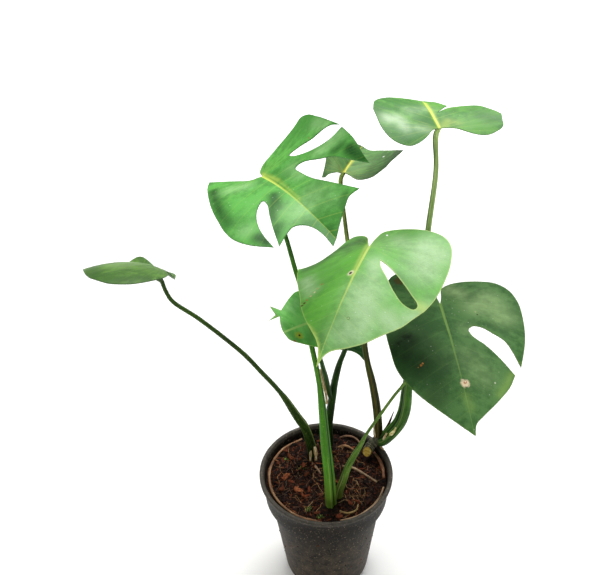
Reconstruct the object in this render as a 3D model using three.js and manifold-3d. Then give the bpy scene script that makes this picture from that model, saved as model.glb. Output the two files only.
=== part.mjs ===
// Potted monstera: a moulded nursery pot filled with bark soil, with eight leaf stalks and their blades,
// a short creeping stem and the surface roots that lie half sunk in the soil.
// Millimetres, +Z up. The origin is the middle of the pot's base, on the surface that it stands on.
import * as THREE from 'three';
import { mergeVertices } from 'three/addons/utils/BufferGeometryUtils.js';
import Module from 'manifold-3d';

const wasm = await Module();
wasm.setup();

// Driving dimensions.
const GAP = 0.3; // clearance between pieces that touch
const POT = {
  height: 170,
  rimRadius: 84.5,
  lipDrop: 5, // depth of the rolled lip's outer face
  lipWidth: 4,
  collarRadius: 78.6, // at the collar's lower edge
  collarDrop: 37.5, // from the rim down to the step under the collar
  bodyRadius: 72, // under the step
  baseRadius: 56.3, // where the body's taper would meet the ground
  footRound: 6, // radius of the bottom edge
  wall: 2,
  floor: 2.5,
  sectors: 48,
  drainHoles: 6,
  drainRadius: 6,
  drainCircle: 38,
};
const SOIL = {
  level: 158, // middle of the soil surface
  relief: 2.2, // how far its bumps rise and fall
  edgeDrop: 3, // how much lower it lies at the wall
  rings: 9,
  sectors: 36,
  chips: 40,
  chipLong: 14,
  seed: 41,
};
const BLADE = { thickness: 1.1, spacing: 14, edge: 9 };
const STALK = {
  sides: 8,
  step: 17, // distance between its rings
  sunk: 24, // depth of its foot in the soil
  seat: 0.45, // clearance under the blade
  neck: 9, // straight stretch under the blade
};
const ROOT = { sides: 6, step: 9 };

const COLOUR = {
  pot: '#2b2b2d',
  soil: '#3b2415',
  root: '#9a7048',
  stalk: '#3f5f22',
  darkStalk: '#2a3a1a',
  brownStalk: '#4a4526',
  lightLeaf: '#86b85c',
  midLeaf: '#4f8f45',
  darkLeaf: '#2f5a34',
  greyLeaf: '#5c7f55',
};

// A small fixed sequence of numbers from 0 to 1, the same on every run.
function sequence(seed) {
  let state = seed;
  return () => {
    state = (state * 16807) % 2147483647;
    return state / 2147483647;
  };
}

const radians = THREE.MathUtils.degToRad;

// ---------------------------------------------------------------- solids and booleans

function indexed(geometry) {
  const bare = geometry.clone();
  bare.deleteAttribute('normal');
  bare.deleteAttribute('uv');
  return mergeVertices(bare, 1e-4);
}

function toSolid(geometry) {
  const merged = indexed(geometry);
  return new wasm.Manifold(new wasm.Mesh({
    numProp: 3,
    vertProperties: new Float32Array(merged.attributes.position.array),
    triVerts: new Uint32Array(merged.index.array),
  }));
}

function toGeometry(solid) {
  const mesh = solid.getMesh();
  const positions = new Float32Array(mesh.numVert * 3);
  for (let i = 0; i < mesh.numVert; i += 1) {
    for (let k = 0; k < 3; k += 1) positions[i * 3 + k] = mesh.vertProperties[i * mesh.numProp + k];
  }
  return geometryOf(positions, Array.from(mesh.triVerts));
}

function geometryOf(positions, triangles) {
  const geometry = new THREE.BufferGeometry();
  geometry.setAttribute('position', new THREE.Float32BufferAttribute(positions, 3));
  geometry.setIndex(triangles);
  geometry.computeVertexNormals();
  return geometry;
}

function fuse(geometries) {
  return toGeometry(geometries.map(toSolid).reduce((whole, next) => whole.add(next)));
}

function named(name, geometry, colour, roughness = 0.6) {
  const material = new THREE.MeshStandardMaterial({ color: colour, roughness, metalness: 0 });
  material.flatShading = true;
  const mesh = new THREE.Mesh(geometry, material);
  mesh.name = name;
  return mesh;
}

// ---------------------------------------------------------------- tapered tubes: stalks and roots

// A closed tube along a smooth curve. radiusAt gives its radius for u from 0 to 1, shapeAt a factor for each
// angle round it, counted from the side that faces `inner`.
function tube(points, radiusAt, { sides, step, inner, shapeAt = () => 1, startRing, endRing }) {
  const curve = new THREE.CatmullRomCurve3(points.map((p) => new THREE.Vector3(...p)), false, 'centripetal');
  const rings = Math.max(3, Math.round(curve.getLength() / step));
  const positions = [];
  const triangles = [];
  for (let i = 0; i <= rings; i += 1) {
    const u = i / rings;
    const centre = curve.getPointAt(u);
    let along = curve.getTangentAt(u);
    if (i === 0 && startRing) along = startRing;
    if (i === rings && endRing) along = endRing;
    const side = inner.clone().addScaledVector(along, -inner.dot(along)).normalize();
    const across = new THREE.Vector3().crossVectors(along, side);
    for (let j = 0; j < sides; j += 1) {
      const angle = (j / sides) * 2 * Math.PI;
      const radius = radiusAt(u) * shapeAt(angle, u);
      const point = centre.clone()
        .addScaledVector(side, radius * Math.cos(angle))
        .addScaledVector(across, radius * Math.sin(angle));
      positions.push(point.x, point.y, point.z);
    }
    if (i > 0) {
      const low = (i - 1) * sides;
      for (let j = 0; j < sides; j += 1) {
        const next = (j + 1) % sides;
        triangles.push(low + j, low + next, low + sides + next, low + j, low + sides + next, low + sides + j);
      }
    }
  }
  for (const [ring, flip] of [[0, true], [rings, false]]) {
    const centre = curve.getPointAt(ring / rings);
    const hub = positions.length / 3;
    positions.push(centre.x, centre.y, centre.z);
    for (let j = 0; j < sides; j += 1) {
      const a = ring * sides + j;
      const b = ring * sides + ((j + 1) % sides);
      if (flip) triangles.push(hub, b, a);
      else triangles.push(hub, a, b);
    }
  }
  return geometryOf(positions, triangles);
}

// ---------------------------------------------------------------- blades

// A flat outline, split into even triangles: ear cutting first, then evenly spread inner points, then
// swapping the shared edge of two triangles wherever that makes them rounder.
function fillOutline(contour, holes, spacing) {
  const points = [...contour, ...holes.flat()];
  let faces = THREE.ShapeUtils.triangulateShape(contour, holes).map((f) => [...f]);
  const loops = [contour, ...holes];
  const inside = (p) => loops.reduce((count, loop) => {
    let odd = count;
    for (let i = 0, j = loop.length - 1; i < loop.length; j = i, i += 1) {
      const a = loop[i];
      const b = loop[j];
      if ((a.y > p.y) !== (b.y > p.y) && p.x < ((b.x - a.x) * (p.y - a.y)) / (b.y - a.y) + a.x) odd = !odd;
    }
    return odd;
  }, false);
  const clear = (p) => points.every((q) => q.distanceTo(p) > spacing * 0.58);
  const box = new THREE.Box2().setFromPoints(contour);
  const rowHeight = spacing * 0.87;
  const rows = Math.ceil(Math.max(box.max.y, -box.min.y) / rowHeight);
  for (const row of [0, ...Array.from({ length: rows }, (_, i) => [i + 1, -i - 1]).flat()]) {
    const start = box.min.x + (Math.abs(row) % 2) * spacing * 0.5;
    for (let x = start; x < box.max.x; x += spacing) {
      const p = new THREE.Vector2(x, row * rowHeight);
      if (inside(p) && clear(p)) {
        faces = insertPoint(points, faces, p);
      }
    }
  }
  return { points, faces: roundFaces(points, faces) };
}

function turn(a, b, c) {
  return (b.x - a.x) * (c.y - a.y) - (b.y - a.y) * (c.x - a.x);
}

function insertPoint(points, faces, p) {
  const holder = faces.findIndex(([a, b, c]) => {
    const sign = Math.sign(turn(points[a], points[b], points[c]));
    return [[a, b], [b, c], [c, a]].every(([i, j]) => sign * turn(points[i], points[j], p) >= -1e-9);
  });
  if (holder < 0) return faces;
  const [a, b, c] = faces[holder];
  const n = points.length;
  points.push(p);
  faces.splice(holder, 1, [a, b, n], [b, c, n], [c, a, n]);
  return roundFaces(points, faces, 2);
}

function cornerAngle(apex, a, b) {
  const u = a.clone().sub(apex);
  const v = b.clone().sub(apex);
  return Math.atan2(Math.abs(u.x * v.y - u.y * v.x), u.dot(v));
}

function roundFaces(points, faces, passes = 60) {
  for (let pass = 0; pass < passes; pass += 1) {
    const owners = new Map();
    let swapped = 0;
    faces.forEach((face, index) => {
      for (let k = 0; k < 3; k += 1) {
        const a = face[k];
        const b = face[(k + 1) % 3];
        const key = a < b ? `${a}_${b}` : `${b}_${a}`;
        if (owners.has(key)) owners.get(key).push([index, face[(k + 2) % 3]]);
        else owners.set(key, [[index, face[(k + 2) % 3]]]);
      }
    });
    const touched = new Set();
    for (const [key, pair] of owners) {
      if (pair.length === 2 && !touched.has(pair[0][0]) && !touched.has(pair[1][0])) {
        const [i, j] = key.split('_').map(Number);
        const [[f, p], [g, q]] = pair;
        const facing = [p, q].map((apex) => cornerAngle(points[apex], points[i], points[j]));
        if (facing[0] + facing[1] > Math.PI + 1e-6) {
          faces[f] = [p, q, j];
          faces[g] = [q, p, i];
          if (turn(points[p], points[q], points[j]) < 0) faces[f].reverse();
          if (turn(points[q], points[p], points[i]) < 0) faces[g].reverse();
          touched.add(f);
          touched.add(g);
          swapped += 1;
        }
      }
    }
    if (swapped === 0) break;
  }
  return faces;
}

// The three directions of a blade where its stalk joins it: along the midrib, to its left, and out of its
// upper face. heading is counted from +X towards +Y, rise is above level, and roll lifts the left half.
function bladeAxes({ heading, rise, roll }) {
  const h = radians(heading);
  const e = radians(rise);
  const along = new THREE.Vector3(Math.cos(h) * Math.cos(e), Math.sin(h) * Math.cos(e), Math.sin(e));
  const level = new THREE.Vector3(-Math.sin(h), Math.cos(h), 0);
  const upright = new THREE.Vector3().crossVectors(along, level);
  const r = radians(roll);
  const left = level.clone().multiplyScalar(Math.cos(r)).addScaledVector(upright, Math.sin(r));
  const up = upright.clone().multiplyScalar(Math.cos(r)).addScaledVector(level, -Math.sin(r));
  return { along, left, up };
}

// Where the point s along the midrib and t to its left lies in space, n above the middle of the blade.
// The midrib bends down by `droop` degrees in each 100 mm (`back` behind the joint), each half leaves it at
// an angle `fold` and bends on by `curl` degrees in each 100 mm, and the whole turns by `twist`. Each of its
// `lifts` is a rounded bulge [s, t, height, radius].
function bladePoint(leaf, s, t, n) {
  const { along, left, up } = bladeAxes(leaf);
  const bend = radians(s >= 0 ? leaf.droop : leaf.back) / 100 || 1e-7;
  const turned = bend * s;
  const spine = new THREE.Vector3(...leaf.joint)
    .addScaledVector(along, Math.sin(turned) / bend)
    .addScaledVector(up, -(1 - Math.cos(turned)) / bend);
  const lifted = along.clone().multiplyScalar(Math.sin(turned)).addScaledVector(up, Math.cos(turned));
  const twist = (radians(leaf.twist) * s) / 100;
  const across = left.clone().multiplyScalar(Math.cos(twist)).addScaledVector(lifted, Math.sin(twist));
  const out = lifted.clone().multiplyScalar(Math.cos(twist)).addScaledVector(left, -Math.sin(twist));
  const half = t >= 0 ? 0 : 1;
  const fold = radians(leaf.fold[half]);
  const curl = radians(leaf.curl[half]) / 100 || 1e-7;
  const reach = Math.abs(t);
  const side = Math.sign(t);
  const angle = fold + curl * reach;
  const lift = (leaf.lifts ?? []).reduce((sum, [x, y, height, radius]) => {
    const away = ((s - x) ** 2 + (t - y) ** 2) / radius ** 2;
    return sum + height * Math.exp(-away);
  }, n);
  return spine
    .addScaledVector(across, (side * (Math.sin(angle) - Math.sin(fold))) / curl)
    .addScaledVector(out, (Math.cos(fold) - Math.cos(angle)) / curl)
    .addScaledVector(out, lift * Math.cos(angle))
    .addScaledVector(across, -side * lift * Math.sin(angle));
}

// An edge drawn through hand-placed points, as evenly spaced points without the last one.
function smoothRun(run) {
  const stops = run.map(([s, t]) => new THREE.Vector3(s, t, 0));
  const curve = new THREE.CatmullRomCurve3(stops, false, 'centripetal');
  const count = Math.max(1, Math.round(curve.getLength() / BLADE.edge));
  return curve.getSpacedPoints(count).slice(0, -1).map((p) => new THREE.Vector2(p.x, p.y));
}

function bladeGeometry(leaf) {
  let contour = leaf.edge.flatMap(smoothRun);
  if (THREE.ShapeUtils.isClockWise(contour)) contour = contour.reverse();
  const holes = (leaf.holes ?? []).map((hole) => {
    const ring = smoothRun([...hole, hole[0]]);
    return THREE.ShapeUtils.isClockWise(ring) ? ring : ring.reverse();
  });
  const { points, faces } = fillOutline(contour, holes, BLADE.spacing);
  const positions = [];
  for (const lift of [BLADE.thickness / 2, -BLADE.thickness / 2]) {
    for (const p of points) positions.push(...bladePoint(leaf, p.x, p.y, lift).toArray());
  }
  const below = points.length;
  const triangles = [];
  for (const [a, b, c] of faces) {
    triangles.push(a, b, c, below + a, below + c, below + b);
  }
  let first = 0;
  for (const loop of [contour, ...holes]) {
    loop.forEach((_, i) => {
      const a = first + i;
      const b = first + ((i + 1) % loop.length);
      triangles.push(a, below + a, below + b, a, below + b, b);
    });
    first += loop.length;
  }
  return geometryOf(positions, triangles);
}

// Each leaf: where its stalk joins it, how it hangs, and its cut edge in runs from corner to corner.
const LEAVES = [
  {
    name: 'front', colour: COLOUR.lightLeaf, joint: [42, -37, 503],
    heading: -116, rise: -11, roll: 15, droop: 11, back: 11,
    fold: [-9, -16], curl: [-16, 4], twist: -12,
    edge: [
      [[0, 0], [-9, -5], [-22, -12], [-35, -26], [-41, -41], [-34, -47], [-21, -50], [-8, -55], [1, -62],
        [5, -76], [4, -89]],
      [[4, -89], [21, -79], [43, -65], [62, -52], [80, -41], [93, -31], [106, -19], [117, -9], [128, -3],
        [142, 0]],
      [[142, 0], [130, 3], [124, 8], [119, 17], [109, 31], [96, 43], [83, 56], [72, 63], [61, 70]],
      [[61, 70], [47, 75], [26, 78], [1, 78], [-18, 73], [-29, 63], [-34, 44], [-32, 20], [-25, 6],
        [-14, 2], [0, 0]],
    ],
    holes: [[[17, 17], [24, 28], [37, 43], [48, 54], [58, 63], [63, 61], [61, 51], [50, 39], [38, 30],
      [25, 20]]],
  },
  {
    name: 'right', colour: COLOUR.darkLeaf, joint: [119, -20, 426],
    heading: -88, rise: -10, roll: 1, droop: 12, back: 17, fold: [-2, 4], curl: [-5, -8], twist: 0,
    edge: [
      [[0, 0], [-9, 3], [-24, 7], [-32, 17], [-36, 32], [-36, 52], [-33, 68], [-22, 78], [0, 82],
        [28, 79], [55, 72], [85, 59]],
      [[85, 59], [67, 56], [53, 52], [43, 43], [35, 34], [33, 26], [38, 20], [46, 22], [58, 32],
        [74, 42], [93, 51]],
      [[93, 51], [105, 43], [119, 28], [131, 13], [139, 4], [149, 1]],
      [[149, 1], [138, -12], [118, -34], [101, -48], [82, -58], [60, -61], [35, -62], [10, -59], [-14, -55],
        [-40, -48], [-53, -38], [-57, -24], [-46, -10], [-24, -4], [0, 0]],
    ],
  },
  {
    name: 'upper', colour: COLOUR.midLeaf, joint: [-57, 5, 560],
    heading: -65, rise: 8, roll: 14, droop: 19, back: -1, fold: [17, 6], curl: [14, -15], twist: 2,
    edge: [
      [[0, 0], [-1, -12], [-13, -21], [-46, -40]],
      [[-46, -40], [-31, -47], [-2, -56], [28, -63], [48, -66], [69, -68], [84, -66], [100, -58],
        [114, -45]],
      [[114, -45], [98, -45], [84, -43], [70, -38], [59, -31], [52, -23], [61, -23], [77, -29],
        [95, -35], [116, -41]],
      [[116, -41], [108, -30], [103, -20], [107, -12], [114, -8], [125, -6], [141, -6]],
      [[141, -6], [136, 0], [125, 13], [117, 24], [112, 32], [113, 42]],
      [[113, 42], [99, 36], [84, 30], [66, 24], [50, 22], [35, 23], [36, 30], [51, 41], [65, 50],
        [81, 55], [102, 63]],
      [[102, 63], [90, 66], [68, 73], [46, 77]],
      [[46, 77], [44, 64], [37, 51], [28, 40], [16, 32], [8, 32], [11, 44], [19, 56], [24, 67], [30, 74],
        [41, 78]],
      [[41, 78], [24, 78], [2, 79], [-23, 79], [-33, 74], [-31, 62], [-28, 46], [-26, 31], [-22, 14],
        [-11, 3], [0, 0]],
    ],
  },
  {
    name: 'top', colour: COLOUR.midLeaf, joint: [119, 50, 588],
    heading: 102, rise: 23, roll: -27, droop: 48, back: 38, fold: [36, -30], curl: [-7, 11], twist: 0,
    edge: [
      [[0, 0], [-2, 7], [-6, 12], [-11, 17], [-16, 24], [-20, 32], [-22, 41], [-19, 50], [-14, 56],
        [-7, 60], [3, 62], [14, 62], [27, 62]],
      [[27, 62], [44, 56], [58, 42], [71, 24], [85, 8], [101, -2]],
      [[101, -2], [85, -12], [68, -16], [52, -23]],
      [[52, -23], [38, -14], [27, -6]],
      [[27, -6], [36, -15], [45, -25], [51, -40], [49, -55], [36, -63], [25, -69], [17, -72]],
      [[17, -72], [3, -69], [-8, -66], [-14, -57], [-17, -48], [-16, -40], [-12, -32], [-7, -25],
        [-2, -18], [0, -9], [0, 0]],
    ],
  },
  {
    name: 'back', colour: COLOUR.greyLeaf, joint: [28, 100, 527],
    heading: 71, rise: 5, roll: 6, droop: 8, back: 6, fold: [47, 7], curl: [-18, 64], twist: 0,
    edge: [
      [[0, 0], [-5, 1], [-11, 6], [-21, 11], [-29, 14], [-40, 16], [-44, 19]],
      [[-44, 19], [-31, 21], [-18, 24], [-8, 27], [12, 32], [32, 30], [52, 22], [70, 12], [90, 0]],
      [[90, 0], [70, -14], [62, -27], [48, -41], [33, -54], [20, -63], [8, -71]],
      [[8, -71], [1, -57], [-9, -52], [-14, -46], [-21, -38], [-22, -30], [-21, -23], [-16, -16],
        [-7, -8], [0, 0]],
    ],
  },
  {
    name: 'left', colour: COLOUR.midLeaf, joint: [-163, -10, 472],
    heading: 152, rise: 8, roll: 27, droop: 46, back: 37, fold: [0, -12], curl: [-36, -1], twist: 0,
    lifts: [[55, -38, 15, 15], [-4, -28, -6, 18]],
    edge: [
      [[0, 0], [-6, 3], [-12, 7], [-17, 13], [-20, 29], [-16, 48], [-11, 58], [-4, 65], [5, 70],
        [17, 71], [33, 68], [45, 61], [58, 49], [70, 35], [82, 18], [93, 0]],
      [[93, 0], [82, -15], [70, -28], [56, -39], [38, -46], [22, -49], [12, -46], [3, -36], [-4, -24],
        [-6, -12], [-3, -4], [0, 0]],
    ],
  },
  {
    name: 'low', colour: COLOUR.midLeaf, joint: [-7, -40, 424],
    heading: 229, rise: 18, roll: -31, droop: 32, back: 26, fold: [1, 0], curl: [-9, 13], twist: 0,
    edge: [
      [[0, 0], [-8, 4], [-14, 12], [-15, 22], [-10, 31], [0, 35], [12, 34], [25, 27], [38, 18], [48, 9],
        [49, 2], [48, -5], [45, -12], [42, -17]],
      [[42, -17], [55, -17]],
      [[55, -17], [45, -20]],
      [[45, -20], [45, -30]],
      [[45, -30], [37, -22]],
      [[37, -22], [26, -28], [16, -33], [4, -37], [-8, -35], [-15, -26], [-16, -15], [-9, -4], [0, 0]],
    ],
  },
  {
    name: 'hidden', colour: COLOUR.darkLeaf, joint: [55.3, 64, 290],
    heading: 90, rise: 50, roll: 0, droop: 12, back: 6, fold: [0, 0], curl: [8, 8], twist: 0,
    edge: [
      [[0, 0], [1, 3], [8, 9], [13, 18], [15, 31], [20, 38], [29, 38], [39, 30], [48, 16], [54, 0]],
      [[54, 0], [48, -8], [40, -11], [33, -7], [24, -2.5], [12, -3], [4, -2.5], [0, 0]],
    ],
  },
];

const leafNamed = (name) => LEAVES.find((leaf) => leaf.name === name);

// The top of a stalk lies just under its blade and square to it. Where the two halves fold unlike, the seat
// follows the mean of the two, and where both hang down the stalk ends lower.
function seatOf(name) {
  const leaf = leafNamed(name);
  const [left, right] = leaf.fold;
  const level = { ...leaf, roll: leaf.roll + (left - right) / 2, fold: [0, 0], curl: [0, 0] };
  const droop = Math.max(0, -(left + right) / 2);
  const depth = BLADE.thickness / 2 + STALK.seat + STALKS[name].top * 1.3 * Math.tan(radians(droop));
  return {
    up: bladeAxes(level).up,
    below: (distance) => bladePoint(level, 1.5, 0, -depth - distance).toArray(),
  };
}

// Each stalk: its radius at the foot, just over its sheath and at the top, and the share of its length that
// the sheath takes.
const STALKS = {
  left: {
    foot: 6.3, waist: 3, top: 2.1, sheath: 0.38,
    route: [[-17, 38, 166], [-19, 38, 180], [-25, 35, 209], [-32, 32, 226], [-40, 30, 245], [-48, 27, 265],
      [-59, 24, 287], [-74, 20, 313], [-90.5, 16, 341], [-108, 11, 366], [-136.5, 3, 403],
      [-159, -4, 429.5], [-164, -5, 443], [-166, -7, 456]],
  },
  upper: {
    foot: 6.3, waist: 2.9, top: 2, sheath: 0.47,
    route: [[3.5, -46, 162], [3, -47, 176], [2, -46, 205], [0, -45, 235], [-2, -45, 264], [-4, -44, 301],
      [-6.5, -43, 336], [-10.3, -41, 366], [-15.7, -32, 396], [-20, -14, 430], [-29, 6, 457], [-38, 8, 497],
      [-47, 7, 528]],
  },
  front: {
    foot: 5.3, waist: 3.1, top: 2.4, sheath: 0.44,
    route: [[7, 57, 163], [7, 57, 192], [9, 57, 215], [12, 57, 241], [14, 56, 260], [17, 54, 279],
      [21, 52, 299], [26, 47, 319], [33, 36, 358], [38, 15, 412], [42, -14, 462]],
  },
  right: {
    foot: 4.6, waist: 1.8, top: 1.4, sheath: 0.4,
    route: [[15, -34, 160], [16, -34.5, 172], [20, -34, 187], [25, -33, 207], [32, -32, 224],
      [39, -31, 239], [46, -30, 256], [63, -29, 288], [77, -27, 312], [85, -26, 324], [102, -24, 360],
      [113, -21, 392]],
  },
  top: {
    foot: 7.8, waist: 4.6, top: 2.3, sheath: 0.3,
    route: [[70.5, 35.8, 180], [76.5, 36, 181.5], [84.6, 36, 190], [92.5, 38, 199], [98.2, 39, 208.5],
      [102.2, 40, 221.5], [104.2, 41, 236], [105, 43, 256], [106.4, 45, 278], [109, 48, 320],
      [113, 48, 389], [116, 49, 479], [119, 50, 545]],
  },
  back: {
    foot: 5, waist: 3.6, top: 2, sheath: 0.34,
    route: [[71, 38, 180], [70.3, 43, 202], [67.5, 47, 231], [62.2, 51, 264], [56, 53, 293], [51, 57, 322],
      [43.5, 68, 375], [34.3, 81, 429], [28, 92, 479]],
  },
  low: {
    foot: 3.2, waist: 2.3, top: 2, sheath: 0.5,
    route: [[11, 57, 232], [7, 50, 254], [3, 38, 286], [-1.8, 21, 319], [-5, 4, 351], [0, -20, 388]],
  },
  hidden: {
    foot: 2.4, waist: 2, top: 1.6, sheath: 0.5,
    route: [[62, 51, 262], [61.5, 60, 266], [58.5, 68.5, 276]],
  },
};

// The start of a stalk's route inside the soil, in line with its first stretch.
function sunkStart(name, depth) {
  const [first, second] = STALKS[name].route;
  const share = depth / (second[2] - first[2]);
  return first.map((value, k) => value - (second[k] - value) * share);
}

function stalkSide(name) {
  const [x, y] = STALKS[name].route[0];
  const leaf = leafNamed(name);
  return new THREE.Vector3(x - leaf.joint[0], y - leaf.joint[1], 40).normalize();
}

// A stalk is grooved on its inner side, and its foot is a sheath with a wing on each side of the groove.
// Under the blade it swells a little.
function stalkTube(name, sunk) {
  const { foot, waist, top, sheath, route } = STALKS[name];
  const seat = seatOf(name);
  const start = sunk ? [sunkStart(name, STALK.sunk)] : [];
  const points = [...start, ...route, seat.below(STALK.neck), seat.below(0)];
  const wing = (u) => THREE.MathUtils.smoothstep(sheath - u, 0, 0.2);
  const shapeAt = (angle, u) => {
    const offGroove = Math.abs(Math.atan2(Math.sin(angle), Math.cos(angle)));
    if (offGroove < 0.1) return 0.78 - 0.1 * wing(u);
    return offGroove < 1 ? 1 + 0.22 * wing(u) : 1;
  };
  const radiusAt = (u) => {
    const swell = THREE.MathUtils.smoothstep(u, 0.93, 0.97) - THREE.MathUtils.smoothstep(u, 0.985, 1);
    const bare = THREE.MathUtils.mapLinear(u, sheath, 1, waist, top);
    return (u < sheath ? foot - (foot - waist) * (u / sheath) ** 3 : bare) + 0.25 * top * swell;
  };
  const { sides, step } = STALK;
  return tube(points, radiusAt, { sides, step, inner: stalkSide(name), shapeAt, endRing: seat.up });
}

// The hole that a stalk stands in, a little wider than its sheath.
function stalkHole(name) {
  const { foot, route } = STALKS[name];
  const points = [sunkStart(name, STALK.sunk + GAP), route[0], route[1]];
  return tube(points, () => foot * 1.22 + GAP, { sides: STALK.sides, step: 12, inner: stalkSide(name) });
}

// ---------------------------------------------------------------- pot

// The pot's outside radius at height z under the lip: the collar, and under it the body with its round foot.
function potOuter(z) {
  const { height, rimRadius, lipWidth, collarRadius, collarDrop, bodyRadius, baseRadius, footRound } = POT;
  const step = height - collarDrop;
  if (z > step) return THREE.MathUtils.mapLinear(z, step, height, collarRadius, rimRadius - lipWidth);
  const below = Math.max(0, footRound - z);
  const straight = THREE.MathUtils.mapLinear(z, 0, step, baseRadius, bodyRadius);
  return straight - footRound + Math.sqrt(footRound ** 2 - below ** 2);
}

// The inside radius: the wall keeps its thickness over the step and round the foot.
function potInner(z) {
  return potOuter(z - POT.wall) - POT.wall;
}

// Heights outside at which the wall turns: up the round foot, and under and over the step.
function wallTurns() {
  const step = POT.height - POT.collarDrop;
  return [...[0.1, 0.35, 1].map((share) => share * POT.footRound), step - 0.5, step + 0.5];
}

function potGeometry() {
  const { height, rimRadius, lipDrop, lipWidth, floor, wall } = POT;
  const profile = [
    [0, 0],
    [potOuter(0), 0],
    ...wallTurns().map((z) => [potOuter(z), z]),
    [potOuter(height - lipDrop), height - lipDrop],
    [rimRadius - 0.8, height - lipDrop],
    [rimRadius, height - lipDrop + 1],
    [rimRadius, height - 1.5],
    [rimRadius - 1, height],
    [rimRadius - lipWidth + 0.5, height],
    [rimRadius - lipWidth - wall + 1, height - 1.5],
    ...wallTurns().reverse().map((z) => [potInner(z + wall), z + wall]),
    [potInner(floor), floor],
    [0, floor],
  ].map(([r, z]) => new THREE.Vector2(r, z));
  const body = new THREE.LatheGeometry(profile, POT.sectors);
  body.rotateX(Math.PI / 2);
  let solid = toSolid(body);
  for (let i = 0; i < POT.drainHoles; i += 1) {
    const angle = (i / POT.drainHoles) * 2 * Math.PI;
    const drill = new THREE.CylinderGeometry(POT.drainRadius, POT.drainRadius, floor * 4, 12);
    drill.rotateX(Math.PI / 2);
    drill.translate(POT.drainCircle * Math.cos(angle), POT.drainCircle * Math.sin(angle), 0);
    solid = solid.subtract(toSolid(drill));
  }
  return toGeometry(solid);
}

// ---------------------------------------------------------------- roots

// Surface roots, each a row of points on the soil as [x, y, height above the soil's middle level].
const ROOTS = {
  ring: { radius: 1.9, route: [[-30, 67, -1], [-56, 47, 0.5], [-71, 17, 1], [-72, -8, 0.5], [-61, -38, 0.5],
    [-36, -62, 0.5], [-8, -71, 0]] },
  edge: { radius: 1.6, route: [[14, -70, 0], [34, -65, 0.5], [52, -53, 0.5], [65, -37, 1], [71, -22, 0]] },
  long: { radius: 1.7, route: [[64, -14, 1], [53, -5, 1.5], [36, 9, 2], [22, 15, 0.5]] },
  flat: { radius: 2.3, route: [[65.5, 36, 1], [70.3, 25, 2], [73.6, 9, 1.5], [73.3, -8, 0]] },
  arch: { radius: 1.6, route: [[22, 66, 0], [31, 66, 3], [43, 61, 3], [51, 50, 0]] },
  tan: { radius: 1.7, route: [[18, 48, 0], [28, 49, 2], [40, 42, 0]] },
  loop: { radius: 1.3, route: [[14, -56, 0], [24, -61, 2], [34, -57, 2], [37, -47, 0]] },
  side: { radius: 1.5, route: [[-17, 22, 0], [-12, 12, 2], [-6, 2, 0]] },
};

function rootTube(name, extra = 0) {
  const { radius, route } = ROOTS[name];
  const points = route.map(([x, y, lift]) => [x, y, SOIL.level + lift]);
  const inner = new THREE.Vector3(0, 0, 1);
  const radiusAt = (u) => extra + radius * (0.75 + 0.25 * Math.sin(Math.PI * u));
  return tube(points, radiusAt, { sides: ROOT.sides, step: ROOT.step, inner });
}

// ---------------------------------------------------------------- soil

// Height of the soil surface: low waves of bark, lower at the wall.
function soilHeight(x, y) {
  const waves = Math.sin(x * 0.19 + 1.3) * Math.cos(y * 0.23) + 0.6 * Math.sin(x * 0.41 - y * 0.33);
  const edge = (Math.hypot(x, y) / POT.rimRadius) ** 6;
  return SOIL.level + (SOIL.relief * waves) / 1.6 - SOIL.edgeDrop * edge;
}

function soilBody() {
  const { rings, sectors } = SOIL;
  const foot = POT.floor + GAP;
  const turns = wallTurns().reverse().map((z) => z + POT.wall);
  const levels = [SOIL.level - SOIL.edgeDrop - SOIL.relief, ...turns, foot];
  const positions = [0, 0, soilHeight(0, 0)];
  const triangles = [];
  const ringAt = (radius, heightAt) => {
    for (let j = 0; j < sectors; j += 1) {
      const angle = (j / sectors) * 2 * Math.PI;
      const x = radius * Math.cos(angle);
      const y = radius * Math.sin(angle);
      positions.push(x, y, heightAt(x, y));
    }
  };
  // The pot's wall is faceted, so the soil keeps inside the flats of both.
  const wallRadius = (z) => (potInner(z) - GAP) * Math.cos(Math.PI / POT.sectors);
  for (let i = 1; i <= rings; i += 1) ringAt((wallRadius(levels[0]) * i) / rings, soilHeight);
  for (const z of levels.slice(1)) ringAt(wallRadius(z), () => z);
  positions.push(0, 0, foot);
  const count = rings + levels.length - 1;
  for (let j = 0; j < sectors; j += 1) {
    const next = (j + 1) % sectors;
    triangles.push(0, 1 + j, 1 + next);
    for (let i = 0; i < count - 1; i += 1) {
      const a = 1 + i * sectors;
      triangles.push(a + j, a + sectors + j, a + sectors + next, a + j, a + sectors + next, a + next);
    }
    const last = 1 + (count - 1) * sectors;
    triangles.push(positions.length / 3 - 1, last + next, last + j);
  }
  return toSolid(geometryOf(positions, triangles));
}

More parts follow.
